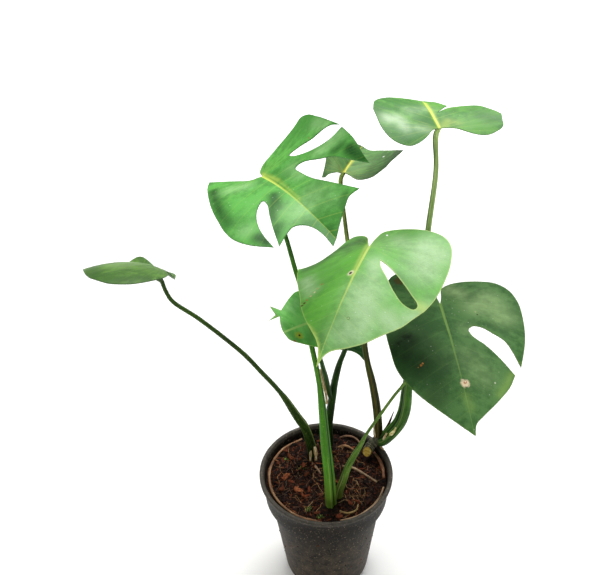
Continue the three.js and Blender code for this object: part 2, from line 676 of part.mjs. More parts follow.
// Bark chips: tilted wedges sunk into the surface, kept clear of the stalks and of the wall.
function barkChips() {
  const draw = sequence(SOIL.seed);
  const taken = [...Object.values(STALKS).map(({ route }) => route[0]), ...STEM.route,
    ...Object.values(ROOTS).flatMap(({ route }) => [...route, ...smoothRun(route).map((p) => [p.x, p.y])])];
  const chips = [];
  while (chips.length < SOIL.chips) {
    const radius = (potInner(SOIL.level) - SOIL.chipLong * 0.75) * Math.sqrt(draw());
    const angle = draw() * 2 * Math.PI;
    const x = radius * Math.cos(angle);
    const y = radius * Math.sin(angle);
    const long = SOIL.chipLong * (0.55 + 0.45 * draw());
    const chip = new THREE.CylinderGeometry(long * 0.16, long * 0.3, long, 4, 1);
    chip.scale(1, 1, 0.5);
    chip.rotateZ(Math.PI / 2 - radians(10 + 22 * draw()));
    chip.rotateX(radians(50 * (draw() - 0.5)));
    chip.rotateZ(draw() * 2 * Math.PI);
    chip.translate(x, y, soilHeight(x, y) - 0.2);
    const clear = ([spotX, spotY]) => Math.hypot(spotX - x, spotY - y) > long * 0.4 + 5;
    if (taken.every(clear)) chips.push(toSolid(chip));
  }
  return chips;
}

function soilGeometry() {
  let solid = barkChips().reduce((whole, chip) => whole.add(chip), soilBody());
  const holes = [
    ...['right', 'left', 'upper', 'front'].map(stalkHole),
    ...Object.keys(ROOTS).map((name) => rootTube(name, GAP)),
    stemTube(GAP),
    anchorTube(GAP),
  ];
  for (const hole of holes) solid = solid.subtract(toSolid(hole));
  return toGeometry(solid);
}

// ---------------------------------------------------------------- the short creeping stem

const STEM = {
  radius: 6.5,
  route: [[55, 25.5, 171.5], [59.5, 32, 174], [65, 35.5, 178], [72, 36.5, 182]],
  cut: [0.4, 0.85, -0.35], // its front end is cut off slantwise: this way lies behind the cut
  anchorRadius: 2.6,
  anchor: [[61, 34, 174], [59.5, 34, 158], [54, 32, 134]],
};

function stemTube(extra = 0) {
  const inner = new THREE.Vector3(-1, 0, 1).normalize();
  const startRing = new THREE.Vector3(...STEM.cut).normalize();
  const shape = { sides: STALK.sides, step: 8 - extra, inner, startRing };
  return tube(STEM.route, () => STEM.radius + extra, shape);
}

// The root that holds the stem, straight down into the soil.
function anchorTube(extra = 0) {
  const inner = new THREE.Vector3(0, -1, 0);
  return tube(STEM.anchor, () => STEM.anchorRadius + extra, { sides: ROOT.sides, step: 14 - extra, inner });
}

// The withered sheath that stands beside the stalk of the top leaf.
function drySpike() {
  const inner = new THREE.Vector3(0, -1, 0);
  const route = [[75, 40, 184], [84, 46, 197], [90.5, 46, 221]];
  return tube(route, (u) => 2.6 - 2.1 * u, { sides: 5, step: 12, inner });
}

// ---------------------------------------------------------------- assembly

const plant = new THREE.Group();
plant.add(named('pot', potGeometry(), COLOUR.pot, 0.55));
plant.add(named('soil', soilGeometry(), COLOUR.soil, 0.95));
for (const name of Object.keys(ROOTS)) plant.add(named(`root_${name}`, rootTube(name), COLOUR.root, 0.85));

plant.add(named('stalk_right', stalkTube('right', true), COLOUR.stalk));
plant.add(named('stalk_left', stalkTube('left', true), COLOUR.darkStalk));
plant.add(named('stalk_upper', stalkTube('upper', true), COLOUR.stalk));
const frontAndLow = [stalkTube('front', true), stalkTube('low', false)];
plant.add(named('stalks_front_low', fuse(frontAndLow), COLOUR.darkStalk));
const creeper = [
  stemTube(),
  anchorTube(),
  ...['top', 'back', 'hidden'].map((name) => stalkTube(name, false)),
  drySpike(),
];
plant.add(named('creeping_stem', fuse(creeper), COLOUR.brownStalk));

for (const leaf of LEAVES) plant.add(named(`blade_${leaf.name}`, bladeGeometry(leaf), leaf.colour, 0.45));

export default plant;
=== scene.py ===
import math

import bpy
import numpy as np
from mathutils import Matrix, Vector, noise
from mathutils.geometry import delaunay_2d_cdt


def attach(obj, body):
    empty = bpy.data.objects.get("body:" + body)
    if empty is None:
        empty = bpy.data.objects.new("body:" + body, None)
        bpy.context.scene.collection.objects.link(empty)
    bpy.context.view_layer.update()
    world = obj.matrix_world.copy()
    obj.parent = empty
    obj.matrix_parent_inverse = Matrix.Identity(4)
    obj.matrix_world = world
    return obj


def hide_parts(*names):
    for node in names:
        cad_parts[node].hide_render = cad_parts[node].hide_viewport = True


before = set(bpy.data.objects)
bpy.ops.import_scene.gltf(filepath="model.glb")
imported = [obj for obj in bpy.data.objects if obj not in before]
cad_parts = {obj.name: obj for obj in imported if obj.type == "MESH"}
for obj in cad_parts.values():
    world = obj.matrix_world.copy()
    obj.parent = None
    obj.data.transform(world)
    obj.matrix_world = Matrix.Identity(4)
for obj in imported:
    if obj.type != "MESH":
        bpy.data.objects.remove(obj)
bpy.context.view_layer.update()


# ------------------------------------------------------------------------------------------------ pot
# A nursery pot, injection moulded in near-black polypropylene: a tapered wall with a collar, a small step
# that lets pots stack, and a rolled lip. The floor is pierced by six drain holes.
POT_HEIGHT = 170
RIM_RADIUS = 84.5
LIP_DROP = 5
LIP_WIDTH = 4
COLLAR_RADIUS = 78.6
STEP_HEIGHT = 132.5
BODY_RADIUS = 72
BASE_RADIUS = 56.3
FOOT_ROUND = 6
WALL = 2
FLOOR = 2.5
POT_SIDES = 160
DRAIN_COUNT = 6
DRAIN_RADIUS = 6
DRAIN_CIRCLE = 38
DRAIN_SIDES = 32
DRILL_REACH = 8


def linear(hex_colour):
    """An sRGB hex colour as linear RGBA."""
    parts = [int(hex_colour[i : i + 2], 16) / 255 for i in (1, 3, 5)]
    return (*[p / 12.92 if p <= 0.04045 else ((p + 0.055) / 1.055) ** 2.4 for p in parts], 1)


def add(tree, kind, links=None, stops=None, **settings):
    """Adds a shader node. links gives each input a value, or a (node, output) pair to join it to."""
    node = tree.nodes.new("ShaderNode" + kind)
    for key, value in settings.items():
        setattr(node, key, value)
    for key, value in (links or {}).items():
        if isinstance(value, tuple) and isinstance(value[0], bpy.types.Node):
            tree.links.new(value[0].outputs[value[1]], node.inputs[key])
        else:
            node.inputs[key].default_value = value
    if stops:
        ramp = node.color_ramp
        while len(ramp.elements) < len(stops):
            ramp.elements.new(1)
        for element, (place, colour) in zip(ramp.elements, stops):
            element.position = place
            element.color = colour
    return node


def new_material(name):
    material = bpy.data.materials.new(name)
    material.use_nodes = True
    material.node_tree.nodes.clear()
    return material, material.node_tree


def new_piece(name, points, faces, material, numbers=None, smooth=True):
    """A mesh piece that rides on the one body. Points are in millimetres, numbers are values per point."""
    mesh = bpy.data.meshes.new(name)
    mesh.from_pydata((np.asarray(points) / 1000).tolist(), [], [list(map(int, f)) for f in faces])
    mesh.update()
    for key, values in (numbers or {}).items():
        layer = mesh.attributes.new(key, "FLOAT", "POINT")
        layer.data.foreach_set("value", np.asarray(values, dtype=np.float32))
    mesh.polygons.foreach_set("use_smooth", [smooth] * len(mesh.polygons))
    mesh.materials.append(material)
    piece = bpy.data.objects.new(name, mesh)
    bpy.context.scene.collection.objects.link(piece)
    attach(piece, "root")
    return piece


def pot_outer(z):
    """Radius of the wall's outside: the collar, and under its step the tapered body with a round foot."""
    if z > STEP_HEIGHT:
        share = (z - STEP_HEIGHT) / (POT_HEIGHT - STEP_HEIGHT)
        return COLLAR_RADIUS + (RIM_RADIUS - LIP_WIDTH - COLLAR_RADIUS) * share
    taper = BASE_RADIUS + (BODY_RADIUS - BASE_RADIUS) * z / STEP_HEIGHT
    return taper - FOOT_ROUND + math.sqrt(FOOT_ROUND**2 - max(0, FOOT_ROUND - z) ** 2)


def pot_inner(z):
    return pot_outer(z - WALL) - WALL


def turned(profile, sectors):
    """Points and faces of a profile of (radius, height) turned round the Z axis; its ends lie on the axis."""
    points, faces, rows = [], [], []
    for radius, height in profile:
        count = 1 if radius == 0 else sectors
        rows.append(range(len(points), len(points) + count))
        for j in range(count):
            angle = 2 * math.pi * j / sectors
            points.append((radius * math.cos(angle), radius * math.sin(angle), height))
    for low, high in zip(rows, rows[1:]):
        for j in range(sectors):
            k = (j + 1) % sectors
            ring = [low[j % len(low)], low[k % len(low)], high[k % len(high)], high[j % len(high)]]
            faces.append(list(dict.fromkeys(ring)))
    return points, faces


# Polypropylene from a lightly grained mould. Handling, watering and potting leave grey-brown dust and pale
# scratches. The lip is lighter, partly from wear and partly as a painted highlight.
plastic, tree = new_material("black_polypropylene")
place = add(tree, "TexCoord")
height = add(tree, "SeparateXYZ", {0: (place, "Object")})
dust = add(tree, "TexNoise", {"Vector": (place, "Object"), "Scale": 85, "Detail": 9, "Roughness": 0.78})
dusty = add(
    tree, "ValToRGB", {0: (dust, "Fac")}, stops=[(0.36, (0.05, 0.05, 0.05, 1)), (0.72, (0.9, 0.9, 0.9, 1))],
)
specks = add(tree, "TexNoise", {"Vector": (place, "Object"), "Scale": 480, "Detail": 3})
speckled = add(tree, "ValToRGB", {0: (specks, "Fac")}, stops=[(0.62, (0, 0, 0, 1)), (0.68, (1, 1, 1, 1))])
slanted = add(
    tree, "Mapping", {"Vector": (place, "Object"), "Rotation": (0.5, 0.3, 0.9), "Scale": (900, 25, 60)},
)
scratch = add(tree, "TexNoise", {"Vector": (slanted, 0), "Scale": 1, "Detail": 1})
scratched = add(
    tree, "ValToRGB", {0: (scratch, "Fac")}, stops=[(0.7, (0, 0, 0, 1)), (0.76, (0.35, 0.35, 0.35, 1))],
)
# The lip is made lighter here, part wear and part painted highlight.
lip = add(tree, "MapRange", {"Value": (height, 2), "From Min": 0.1635, "From Max": 0.1655})
lip_wear_and_highlight = add(tree, "Math", {0: (lip, 0), 1: (dust, "Fac")}, operation="MULTIPLY")
low = add(
    tree, "MapRange",
    {"Value": (height, 2), "From Min": 0.1265, "From Max": 0.06, "To Min": 0.25, "To Max": 1.1},
)
dusty_low = add(tree, "Math", {0: (dusty, 0), 1: (low, 0)}, operation="MULTIPLY")
body = add(
    tree, "Mix", {"Factor": (dusty_low, 0), "A": linear("#08090a"), "B": linear("#665a4b")}, data_type="RGBA",
)
with_specks = add(
    tree, "Mix", {"Factor": (speckled, 0), "A": (body, "Result"), "B": linear("#7a6c58")}, data_type="RGBA",
)
with_marks = add(
    tree, "Mix", {"Factor": (scratched, 0), "A": (with_specks, "Result"), "B": linear("#5c574f")},
    data_type="RGBA",
)
worn = add(
    tree, "Mix", {"Factor": (lip_wear_and_highlight, 0), "A": (with_marks, "Result"), "B": linear("#625d55")},
    data_type="RGBA",
)
rough = add(tree, "MapRange", {"Value": (dust, "Fac"), "To Min": 0.36, "To Max": 0.7})
grain = add(tree, "TexNoise", {"Vector": (place, "Object"), "Scale": 1300, "Detail": 2})
relief = add(tree, "Bump", {"Height": (grain, "Fac"), "Strength": 0.25, "Distance": 0.0002})
shader = add(
    tree,
    "BsdfPrincipled",
    {
        "Base Color": (worn, "Result"), "Roughness": (rough, 0), "Normal": (relief, 0), "IOR": 1.49,
        "Specular IOR Level": 0.12,
    },
)
add(tree, "OutputMaterial", {"Surface": (shader, 0)})

foot_turns = [FOOT_ROUND * (1 - math.cos(math.radians(a))) for a in (0, 15, 30, 45, 60, 75, 90)]
step_turns = [STEP_HEIGHT - 0.9, STEP_HEIGHT - 0.5]
lip_foot = POT_HEIGHT - LIP_DROP
pot_profile = [
    (0, 0),
    *[(pot_outer(z), z) for z in [*foot_turns, 40, 80, *step_turns]],
    (BODY_RADIUS + 0.7, STEP_HEIGHT - 0.05),
    (COLLAR_RADIUS - 0.6, STEP_HEIGHT + 0.25),
    (COLLAR_RADIUS - 0.1, STEP_HEIGHT + 0.55),
    *[(pot_outer(z), z) for z in (STEP_HEIGHT + 1.2, 148, lip_foot - 0.8)],
    (pot_outer(lip_foot) + 0.5, lip_foot),
    (RIM_RADIUS - 0.8, lip_foot),
    (RIM_RADIUS - 0.2, lip_foot + 0.3),
    (RIM_RADIUS, lip_foot + 1),
    (RIM_RADIUS, POT_HEIGHT - 1.7),
    (RIM_RADIUS - 0.3, POT_HEIGHT - 0.7),
    (RIM_RADIUS - 1, POT_HEIGHT - 0.1),
    (RIM_RADIUS - 1.6, POT_HEIGHT),
    (RIM_RADIUS - LIP_WIDTH + 0.7, POT_HEIGHT - 0.1),
    (RIM_RADIUS - LIP_WIDTH - 0.4, POT_HEIGHT - 0.6),
    (RIM_RADIUS - LIP_WIDTH - WALL + 0.7, POT_HEIGHT - 1.8),
    *[(pot_inner(z), z) for z in (160, 148, STEP_HEIGHT + WALL + 0.6, STEP_HEIGHT + WALL - 0.5, 60)],
    *[(pot_inner(z + WALL), z + WALL) for z in foot_turns[:1:-1]],
    (pot_inner(FLOOR), FLOOR),
    (0, FLOOR),
]
pot_points, pot_faces = turned(pot_profile, POT_SIDES)
pot = new_piece("nursery_pot", pot_points, [f[::-1] for f in pot_faces], plastic)
# The drain holes are cut through the floor by plugs, which are taken away again.
plug = [(0, -DRILL_REACH), (DRAIN_RADIUS, -DRILL_REACH), (DRAIN_RADIUS, DRILL_REACH), (0, DRILL_REACH)]
drills = []
for i in range(DRAIN_COUNT):
    angle = 2 * math.pi * i / DRAIN_COUNT
    drill_points, drill_faces = turned(plug, DRAIN_SIDES)
    shift = np.array([DRAIN_CIRCLE * math.cos(angle), DRAIN_CIRCLE * math.sin(angle), 0])
    mesh = bpy.data.meshes.new("drill")
    mesh.from_pydata(((np.array(drill_points) + shift) / 1000).tolist(), [], [f[::-1] for f in drill_faces])
    drill = bpy.data.objects.new("drill", mesh)
    bpy.context.scene.collection.objects.link(drill)
    cut = pot.modifiers.new("drain", "BOOLEAN")
    cut.operation, cut.solver, cut.object = "DIFFERENCE", "EXACT", drill
    drills.append(drill)
dg = bpy.context.evaluated_depsgraph_get()
pierced = bpy.data.meshes.new_from_object(pot.evaluated_get(dg))
pot.modifiers.clear()
pot.data = pierced
pot.data.set_sharp_from_angle(angle=math.radians(38))
for drill in drills:
    bpy.data.objects.remove(drill)
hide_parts("pot")


# ------------------------------------------------------------------------------------------------ soil
# Potting mix of dark peat and crushed pine bark that fills the pot to 12 mm under its rim. It is one mass
# with the root ball. Loose bark chips, crumbs and root threads lie on its surface.
SOIL_LEVEL = 158
SOIL_RELIEF = 2.2
SOIL_EDGE_DROP = 3
SOIL_PLAY = 0.4
SOIL_RINGS, SOIL_SECTORS = 62, 240


def soil_height(x, y):
    """The same slow waves as the solid, with crumbly peat on top."""
    waves = math.sin(x * 0.19 + 1.3) * math.cos(y * 0.23) + 0.6 * math.sin(x * 0.41 - y * 0.33)
    edge = (math.hypot(x, y) / RIM_RADIUS) ** 6
    crumbs = noise.fractal(Vector((x * 0.22, y * 0.22, 3.1)), 0.9, 2.1, 5)
    return SOIL_LEVEL + SOIL_RELIEF * waves / 1.6 - SOIL_EDGE_DROP * edge + 1.1 * crumbs


# Peat is almost black where damp, and warmer brown where its fibres have dried.
peat, tree = new_material("damp_peat")
place = add(tree, "TexCoord")
clods = add(tree, "TexNoise", {"Vector": (place, "Object"), "Scale": 160, "Detail": 9, "Roughness": 0.7})
fibres = add(tree, "TexVoronoi", {"Vector": (place, "Object"), "Scale": 650, "Randomness": 1})
tone = add(
    tree,
    "ValToRGB",
    {0: (clods, "Fac")},
    stops=[
        (0.38, linear("#080403")), (0.5, linear("#190c06")), (0.6, linear("#33190c")),
        (0.72, linear("#5c3820")),
    ],
)
height = add(tree, "Math", {0: (clods, "Fac"), 1: (fibres, "Distance")}, operation="ADD")
relief = add(tree, "Bump", {"Height": (height, 0), "Strength": 0.9, "Distance": 0.0012})
shader = add(
    tree,
    "BsdfPrincipled",
    {"Base Color": (tone, 0), "Roughness": 0.92, "Normal": (relief, 0), "Specular IOR Level": 0.2},
)
add(tree, "OutputMaterial", {"Surface": (shader, 0)})

# The surface is a disc of rings; under it the mass follows the inside of the wall down to the floor.
soil_points, soil_faces = [(0, 0, soil_height(0, 0))], []
top_radius = pot_inner(SOIL_LEVEL - 5) - SOIL_PLAY
for i in range(1, SOIL_RINGS + 1):
    for j in range(SOIL_SECTORS):
        angle, radius = 2 * math.pi * j / SOIL_SECTORS, top_radius * i / SOIL_RINGS
        x, y = radius * math.cos(angle), radius * math.sin(angle)
        soil_points.append((x, y, soil_height(x, y)))
soil_turns = [148, STEP_HEIGHT + WALL + 0.6, STEP_HEIGHT + WALL - 0.5, 60]
soil_turns += [z + WALL for z in foot_turns[:2:-1]] + [FLOOR + 0.5]
for z in soil_turns:
    for j in range(SOIL_SECTORS):
        angle = 2 * math.pi * j / SOIL_SECTORS
        radius = pot_inner(z) - SOIL_PLAY
        soil_points.append((radius * math.cos(angle), radius * math.sin(angle), z))
soil_points.append((0, 0, FLOOR + 0.5))
rows = SOIL_RINGS + len(soil_turns)
for j in range(SOIL_SECTORS):
    k = (j + 1) % SOIL_SECTORS
    soil_faces.append((0, 1 + j, 1 + k))
    for i in range(rows - 1):
        a = 1 + i * SOIL_SECTORS
        soil_faces.append((a + j, a + SOIL_SECTORS + j, a + SOIL_SECTORS + k, a + k))
    a = 1 + (rows - 1) * SOIL_SECTORS
    soil_faces.append((len(soil_points) - 1, a + k, a + j))
soil = new_piece("potting_mix", soil_points, soil_faces, peat)
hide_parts("soil")


# ------------------------------------------------------------------------------------------- loose bark
# Torn chips and splinters of pine bark, crumbs of peat and hair-thin roots, all pressed into the surface of
# the mix. The chips are rust red to almost black. A little moss has settled at the front and on the left.
CHIP_COUNT, SPLINTER_COUNT, CRUMB_COUNT, STUCK_COUNT = 210, 380, 1900, 90
THREAD_COUNT, BUNDLE_COUNT = 170, 26
CHIP_SIDES = 11
# Where the stalks and the creeping stem leave the soil, with the radius to keep clear.
FEET = [(-17, 38, 9), (3.5, -46, 9), (7, 57, 8), (15, -34, 8), (60, 34, 9), (70, 37, 9)]
draw = np.random.default_rng(17)


def smooth_run(run, step):
    """Evenly spaced points on the centripetal curve through the given ones, both ends kept."""
    p = np.asarray(run, dtype=float)
    p = np.vstack([2 * p[0] - p[1], p, 2 * p[-1] - p[-2]])
    line = []
    for i in range(1, len(p) - 2):
        knots = [max(np.linalg.norm(p[i + k] - p[i + k - 1]), 1e-4) ** 0.5 for k in range(3)]
        a, b, c = knots
        start = (p[i] - p[i - 1]) / a - (p[i + 1] - p[i - 1]) / (a + b) + (p[i + 1] - p[i]) / b
        end = (p[i + 1] - p[i]) / b - (p[i + 2] - p[i]) / (b + c) + (p[i + 2] - p[i + 1]) / c
        start, end = start * b, end * b
        for u in np.arange(0, 1, 1 / 40):
            line.append(
                (2 * u**3 - 3 * u**2 + 1) * p[i]
                + (u**3 - 2 * u**2 + u) * start
                + (3 * u**2 - 2 * u**3) * p[i + 1]
                + (u**3 - u**2) * end
            )
    line = np.array([*line, p[-2]])
    length = np.concatenate([[0], np.cumsum(np.linalg.norm(np.diff(line, axis=0), axis=1))])
    count = max(1, round(length[-1] / step))
    stations = length[-1] * np.arange(count + 1) / count
    return np.stack([np.interp(stations, length, line[:, d]) for d in range(p.shape[1])], axis=1)


def rod(route, radius_at, sides, step, inner=(0, 0, 1), shape_at=None, end_square=None):
    """A closed rod along a route. radius_at(u) and shape_at(angle, u) give its section at the share u of its
    length; angle 0 faces inner. Returns points, faces and the numbers that its material reads."""
    line = smooth_run(route, step)
    rings = len(line) - 1
    ways = np.gradient(line, axis=0)
    ways /= np.linalg.norm(ways, axis=1)[:, None]
    if end_square is not None:
        ways[-1] = end_square
    length = np.concatenate([[0], np.cumsum(np.linalg.norm(np.diff(line, axis=0), axis=1))])
    angle = 2 * np.pi * np.arange(sides) / sides
    points, faces, numbers = [], [], {"along": [], "out_x": [], "out_y": [], "turn": []}
    for i, (centre, way) in enumerate(zip(line, ways)):
        u = i / rings
        side = np.asarray(inner, dtype=float) - way * np.dot(inner, way)
        side /= np.linalg.norm(side)
        across = np.cross(way, side)
        radius = radius_at(u) * (shape_at(angle, u) if shape_at else np.ones(sides))
        points += list(
            centre + np.outer(radius * np.cos(angle), side) + np.outer(radius * np.sin(angle), across)
        )
        numbers["along"] += [length[i]] * sides
        numbers["out_x"] += list(radius * np.cos(angle))
        numbers["out_y"] += list(radius * np.sin(angle))
        numbers["turn"] += list(np.abs(np.arctan2(np.sin(angle), np.cos(angle))))
        for j in range(sides if i else 0):
            k = (j + 1) % sides
            low, high = (i - 1) * sides, i * sides
            faces.append((low + j, low + k, high + k, high + j))
    for ring in (0, rings):
        points.append(line[ring])
        for key, value in (("along", length[ring]), ("out_x", 0), ("out_y", 0), ("turn", 1.5)):
            numbers[key].append(value)
        for j in range(sides):
            a, b = ring * sides + j, ring * sides + (j + 1) % sides
            faces.append((len(points) - 1, b, a) if ring == 0 else (len(points) - 1, a, b))
    return np.array(points), faces, numbers


def joined(parts):
    """Several (points, faces, numbers) as one."""
    points, faces, numbers, first = [], [], {}, 0
    for some_points, some_faces, some_numbers in parts:
        points.append(some_points)
        faces += [tuple(first + v for v in face) for face in some_faces]
        for key, values in some_numbers.items():
            numbers.setdefault(key, []).extend(values)
        first += len(some_points)
    return np.vstack(points), faces, numbers


def free_spot(margin):
    """A random place on the soil, clear of the wall and of the stalks."""
    while True:
        radius = (pot_inner(SOIL_LEVEL) - margin) * math.sqrt(draw.random())
        angle = draw.random() * 2 * math.pi
        x, y = radius * math.cos(angle), radius * math.sin(angle)
        if all(math.hypot(x - fx, y - fy) > keep + margin * 0.5 for fx, fy, keep in FEET):
            return x, y


def turned_about(yaw, tilt, roll):
    return np.array(
        Matrix.Rotation(yaw, 3, "Z") @ Matrix.Rotation(tilt, 3, "Y") @ Matrix.Rotation(roll, 3, "X")
    )


def bark_chip(x, y, long, wide, thick, yaw, shade):
    """A torn slab with ragged ends, a crowned back and some curl, half pressed in."""
    sides = CHIP_SIDES
    points = []
    curl = draw.uniform(-0.1, 0.3)
    ragged = draw.uniform(0.62, 1.1, sides)
    for share, level in ((0.8, -1), (1, -0.3), (0.97, 0.35), (0.66, 1)):
        for j in range(sides):
            a = 2 * math.pi * j / sides
            px = long / 2 * share * ragged[j] * abs(math.cos(a)) ** 0.7 * math.copysign(1, math.cos(a))
            py = wide / 2 * share * ragged[j] * math.sin(a)
            pz = level * thick / 2 + curl * long * (2 * px / long) ** 2 + draw.normal(0, 0.05 * thick)
            points.append((px, py, pz))
    points += [(0, 0, -thick / 2), (0, 0, thick * draw.uniform(0.5, 0.7))]
    points = np.array(points) @ turned_about(yaw, draw.uniform(-0.35, 0.35), draw.uniform(-0.5, 0.5)).T
    points += np.array([x, y, soil_height(x, y) + thick * draw.uniform(0.05, 0.5)])
    faces = []
    for row in range(3):
        for j in range(sides):
            k, low, high = (j + 1) % sides, row * sides, (row + 1) * sides
            faces.append((low + j, low + k, high + k, high + j))
    for j in range(sides):
        k = (j + 1) % sides
        faces += [(4 * sides, k, j), (4 * sides + 1, 3 * sides + j, 3 * sides + k)]
    return points, faces, {"shade": [shade] * len(points)}


def crumb(x, y, size):
    """A crumb of peat: eight uneven faces, sunk into the surface."""
    points = np.array([(1, 0, 0), (-1, 0, 0), (0, 1, 0), (0, -1, 0), (0, 0, 1), (0, 0, -1)], dtype=float)
    points *= draw.uniform(0.55, 1.25, (6, 1)) * size
    points = points @ turned_about(*draw.uniform(0, 6.28, 3)).T
    points += np.array([x, y, soil_height(x, y) + size * 0.25])
    faces = [(0, 2, 4), (2, 1, 4), (1, 3, 4), (3, 0, 4), (2, 0, 5), (1, 2, 5), (3, 1, 5), (0, 3, 5)]
    return points, faces, {"shade": [draw.uniform(0, 0.75)] * 6}


# Pine bark: rust red where freshly torn, brown and almost black where weathered, with a fine grain.
bark, tree = new_material("pine_bark")
place = add(tree, "TexCoord")
shade = add(tree, "Attribute", attribute_name="shade")
grain = add(tree, "TexNoise", {"Vector": (place, "Object"), "Scale": 420, "Detail": 6, "Roughness": 0.7})
mixed = add(tree, "Math", {0: (grain, "Fac"), 1: 0.45, 2: (shade, "Fac")}, operation="MULTIPLY_ADD")
tone = add(
    tree,
    "ValToRGB",
    {0: (mixed, 0)},
    stops=[
        (0.3, linear("#090503")),
        (0.6, linear("#241009")),
        (0.84, linear("#542813")),
        (0.96, linear("#6e3520")),
        (1.0, linear("#965a36")),
    ],
)
relief = add(tree, "Bump", {"Height": (grain, "Fac"), "Strength": 0.8, "Distance": 0.0008})
shader = add(
    tree,
    "BsdfPrincipled",
    {"Base Color": (tone, 0), "Roughness": 0.78, "Normal": (relief, 0), "Specular IOR Level": 0.15},
)
add(tree, "OutputMaterial", {"Surface": (shader, 0)})

chips = []
for _ in range(CHIP_COUNT):
    long = draw.uniform(3, 10)
    x, y = free_spot(long * 0.6)
    tint = draw.choice([0.05, 0.25, 0.4, 0.55, 0.68], p=[0.28, 0.28, 0.22, 0.15, 0.07])
    tint += draw.uniform(-0.05, 0.05)
    wide, thick, yaw = long * draw.uniform(0.35, 0.75), draw.uniform(0.9, 2.6), draw.uniform(0, 6.28)
    chips.append(bark_chip(x, y, long, wide, thick, yaw, tint))
for _ in range(SPLINTER_COUNT):
    long = draw.uniform(5, 17)
    x, y = free_spot(long * 0.55)
    wide, thick = draw.uniform(0.8, 1.7), draw.uniform(0.6, 1.2)
    yaw, tint = draw.uniform(0, 6.28), draw.uniform(0.1, 0.8)
    chips.append(bark_chip(x, y, long, wide, thick, yaw, tint))
# The large red chips and pale curls on the left, one by one: place, length, width, thickness, turn and shade.
for x, y, long, wide, thick, yaw, tint in (
    (-51, 0, 13, 8, 3.4, 0.6, 0.74),
    (-36, -24, 15, 9, 3.6, -0.5, 0.76),
    (-27, -33, 14, 7, 3.2, 0.2, 0.72),
    (-33, -13, 17, 4, 1.8, 0.9, 0.82),
    (-43, -9, 14, 4, 1.8, -0.4, 0.7),
    (-22, -22, 13, 5, 2.2, 1.5, 0.66),
    (-56, -20, 14, 7, 2.6, 1.2, 0.6),
    (-58, 26, 12, 7, 2.6, 0.5, 0.6),
    (-46, 32, 13, 6, 2.4, 2.2, 0.64),
    (-14, -58, 12, 6, 2.2, 0.4, 0.6),
    (50, -44, 11, 6, 2.2, 0.8, 0.4),
):
    chips.append(bark_chip(x, y, long, wide, thick, yaw, tint))
for _ in range(CRUMB_COUNT):
    size = draw.uniform(0.4, 1.5)
    chips.append(crumb(*free_spot(size + 1), size))
# Potting left some crumbs stuck to the outside of the wall.
for _ in range(STUCK_COUNT):
    size, turn, z = draw.uniform(0.4, 1.3), draw.uniform(0, 2 * math.pi), draw.uniform(20, 150)
    points, faces, shades = crumb(0, 0, size)
    points += np.array([0, 0, z - soil_height(0, 0)])
    points += (pot_outer(z) + size * 0.2) * np.array([math.cos(turn), math.sin(turn), 0])
    chips.append((points, faces, shades))
chip_points, chip_faces, chip_numbers = joined(chips)
new_piece("bark_chips", chip_points, chip_faces, bark, chip_numbers, smooth=False)

# Hair-thin roots wander over the surface. A bundle of yellow ones stands up beside the right-hand stalk.
fibre, tree = new_material("fine_root_skin")
place = add(tree, "TexCoord")
shade = add(tree, "Attribute", attribute_name="shade")
blotch = add(tree, "TexNoise", {"Vector": (place, "Object"), "Scale": 240, "Detail": 3})
mixed = add(tree, "Math", {0: (blotch, "Fac"), 1: 0.5, 2: (shade, "Fac")}, operation="MULTIPLY_ADD")
tone = add(
    tree,
    "ValToRGB",
    {0: (mixed, 0)},
    stops=[
        (0.3, linear("#3a2415")), (0.6, linear("#6e4a2b")), (0.85, linear("#9c7640")),
        (1.0, linear("#c7a878")),
    ],
)
shader = add(tree, "BsdfPrincipled", {"Base Color": (tone, 0), "Roughness": 0.6})
add(tree, "OutputMaterial", {"Surface": (shader, 0)})
threads = []
for i in range(THREAD_COUNT + BUNDLE_COUNT):
    bundled = i >= THREAD_COUNT
    if bundled:
        x, y = draw.uniform(18, 44), draw.uniform(-44, -14)
    else:
        x, y = free_spot(14)
    way, route = draw.uniform(0, 6.28), []
    height = draw.uniform(0.8, 3.4) if bundled else draw.uniform(0.2, 1.2)
    count = 5 if bundled else 6
    for k in range(count):
        if math.hypot(x, y) > pot_inner(SOIL_LEVEL) - 2:
            break
        arch = height * math.sin(math.pi * (k + 0.3) / (count - 0.4))
        route.append((x, y, soil_height(x, y) + arch - 0.2))
        way += draw.normal(0, 0.45)
        x, y = x + 4.2 * math.cos(way), y + 4.2 * math.sin(way)
    if len(route) > 2:
        thick = draw.uniform(0.2, 0.42) if bundled else draw.uniform(0.2, 0.5)
        points, faces, numbers = rod(route, lambda u: thick * (1 - 0.5 * u), sides=5, step=1.6)
        tint = draw.uniform(0.3, 0.7) if bundled else draw.uniform(0, 0.6)
        threads.append((points, faces, {"shade": [tint] * len(points)}))
thread_points, thread_faces, thread_numbers = joined(threads)
new_piece("fine_roots", thread_points, thread_faces, fibre, thread_numbers)

# Moss: cushions of pointed leaves about 2 mm long.
moss, tree = new_material("moss")
place = add(tree, "TexCoord")
patch = add(tree, "TexNoise", {"Vector": (place, "Object"), "Scale": 300, "Detail": 2})
tone = add(tree, "ValToRGB", {0: (patch, "Fac")}, stops=[(0.35, linear("#2c4a12")), (0.7, linear("#8dab3a"))])
shader = add(
    tree, "BsdfPrincipled",
    {"Base Color": (tone, 0), "Roughness": 0.7, "Subsurface Weight": 0.1, "Subsurface Scale": 0.001},
)
add(tree, "OutputMaterial", {"Surface": (shader, 0)})
tufts = []
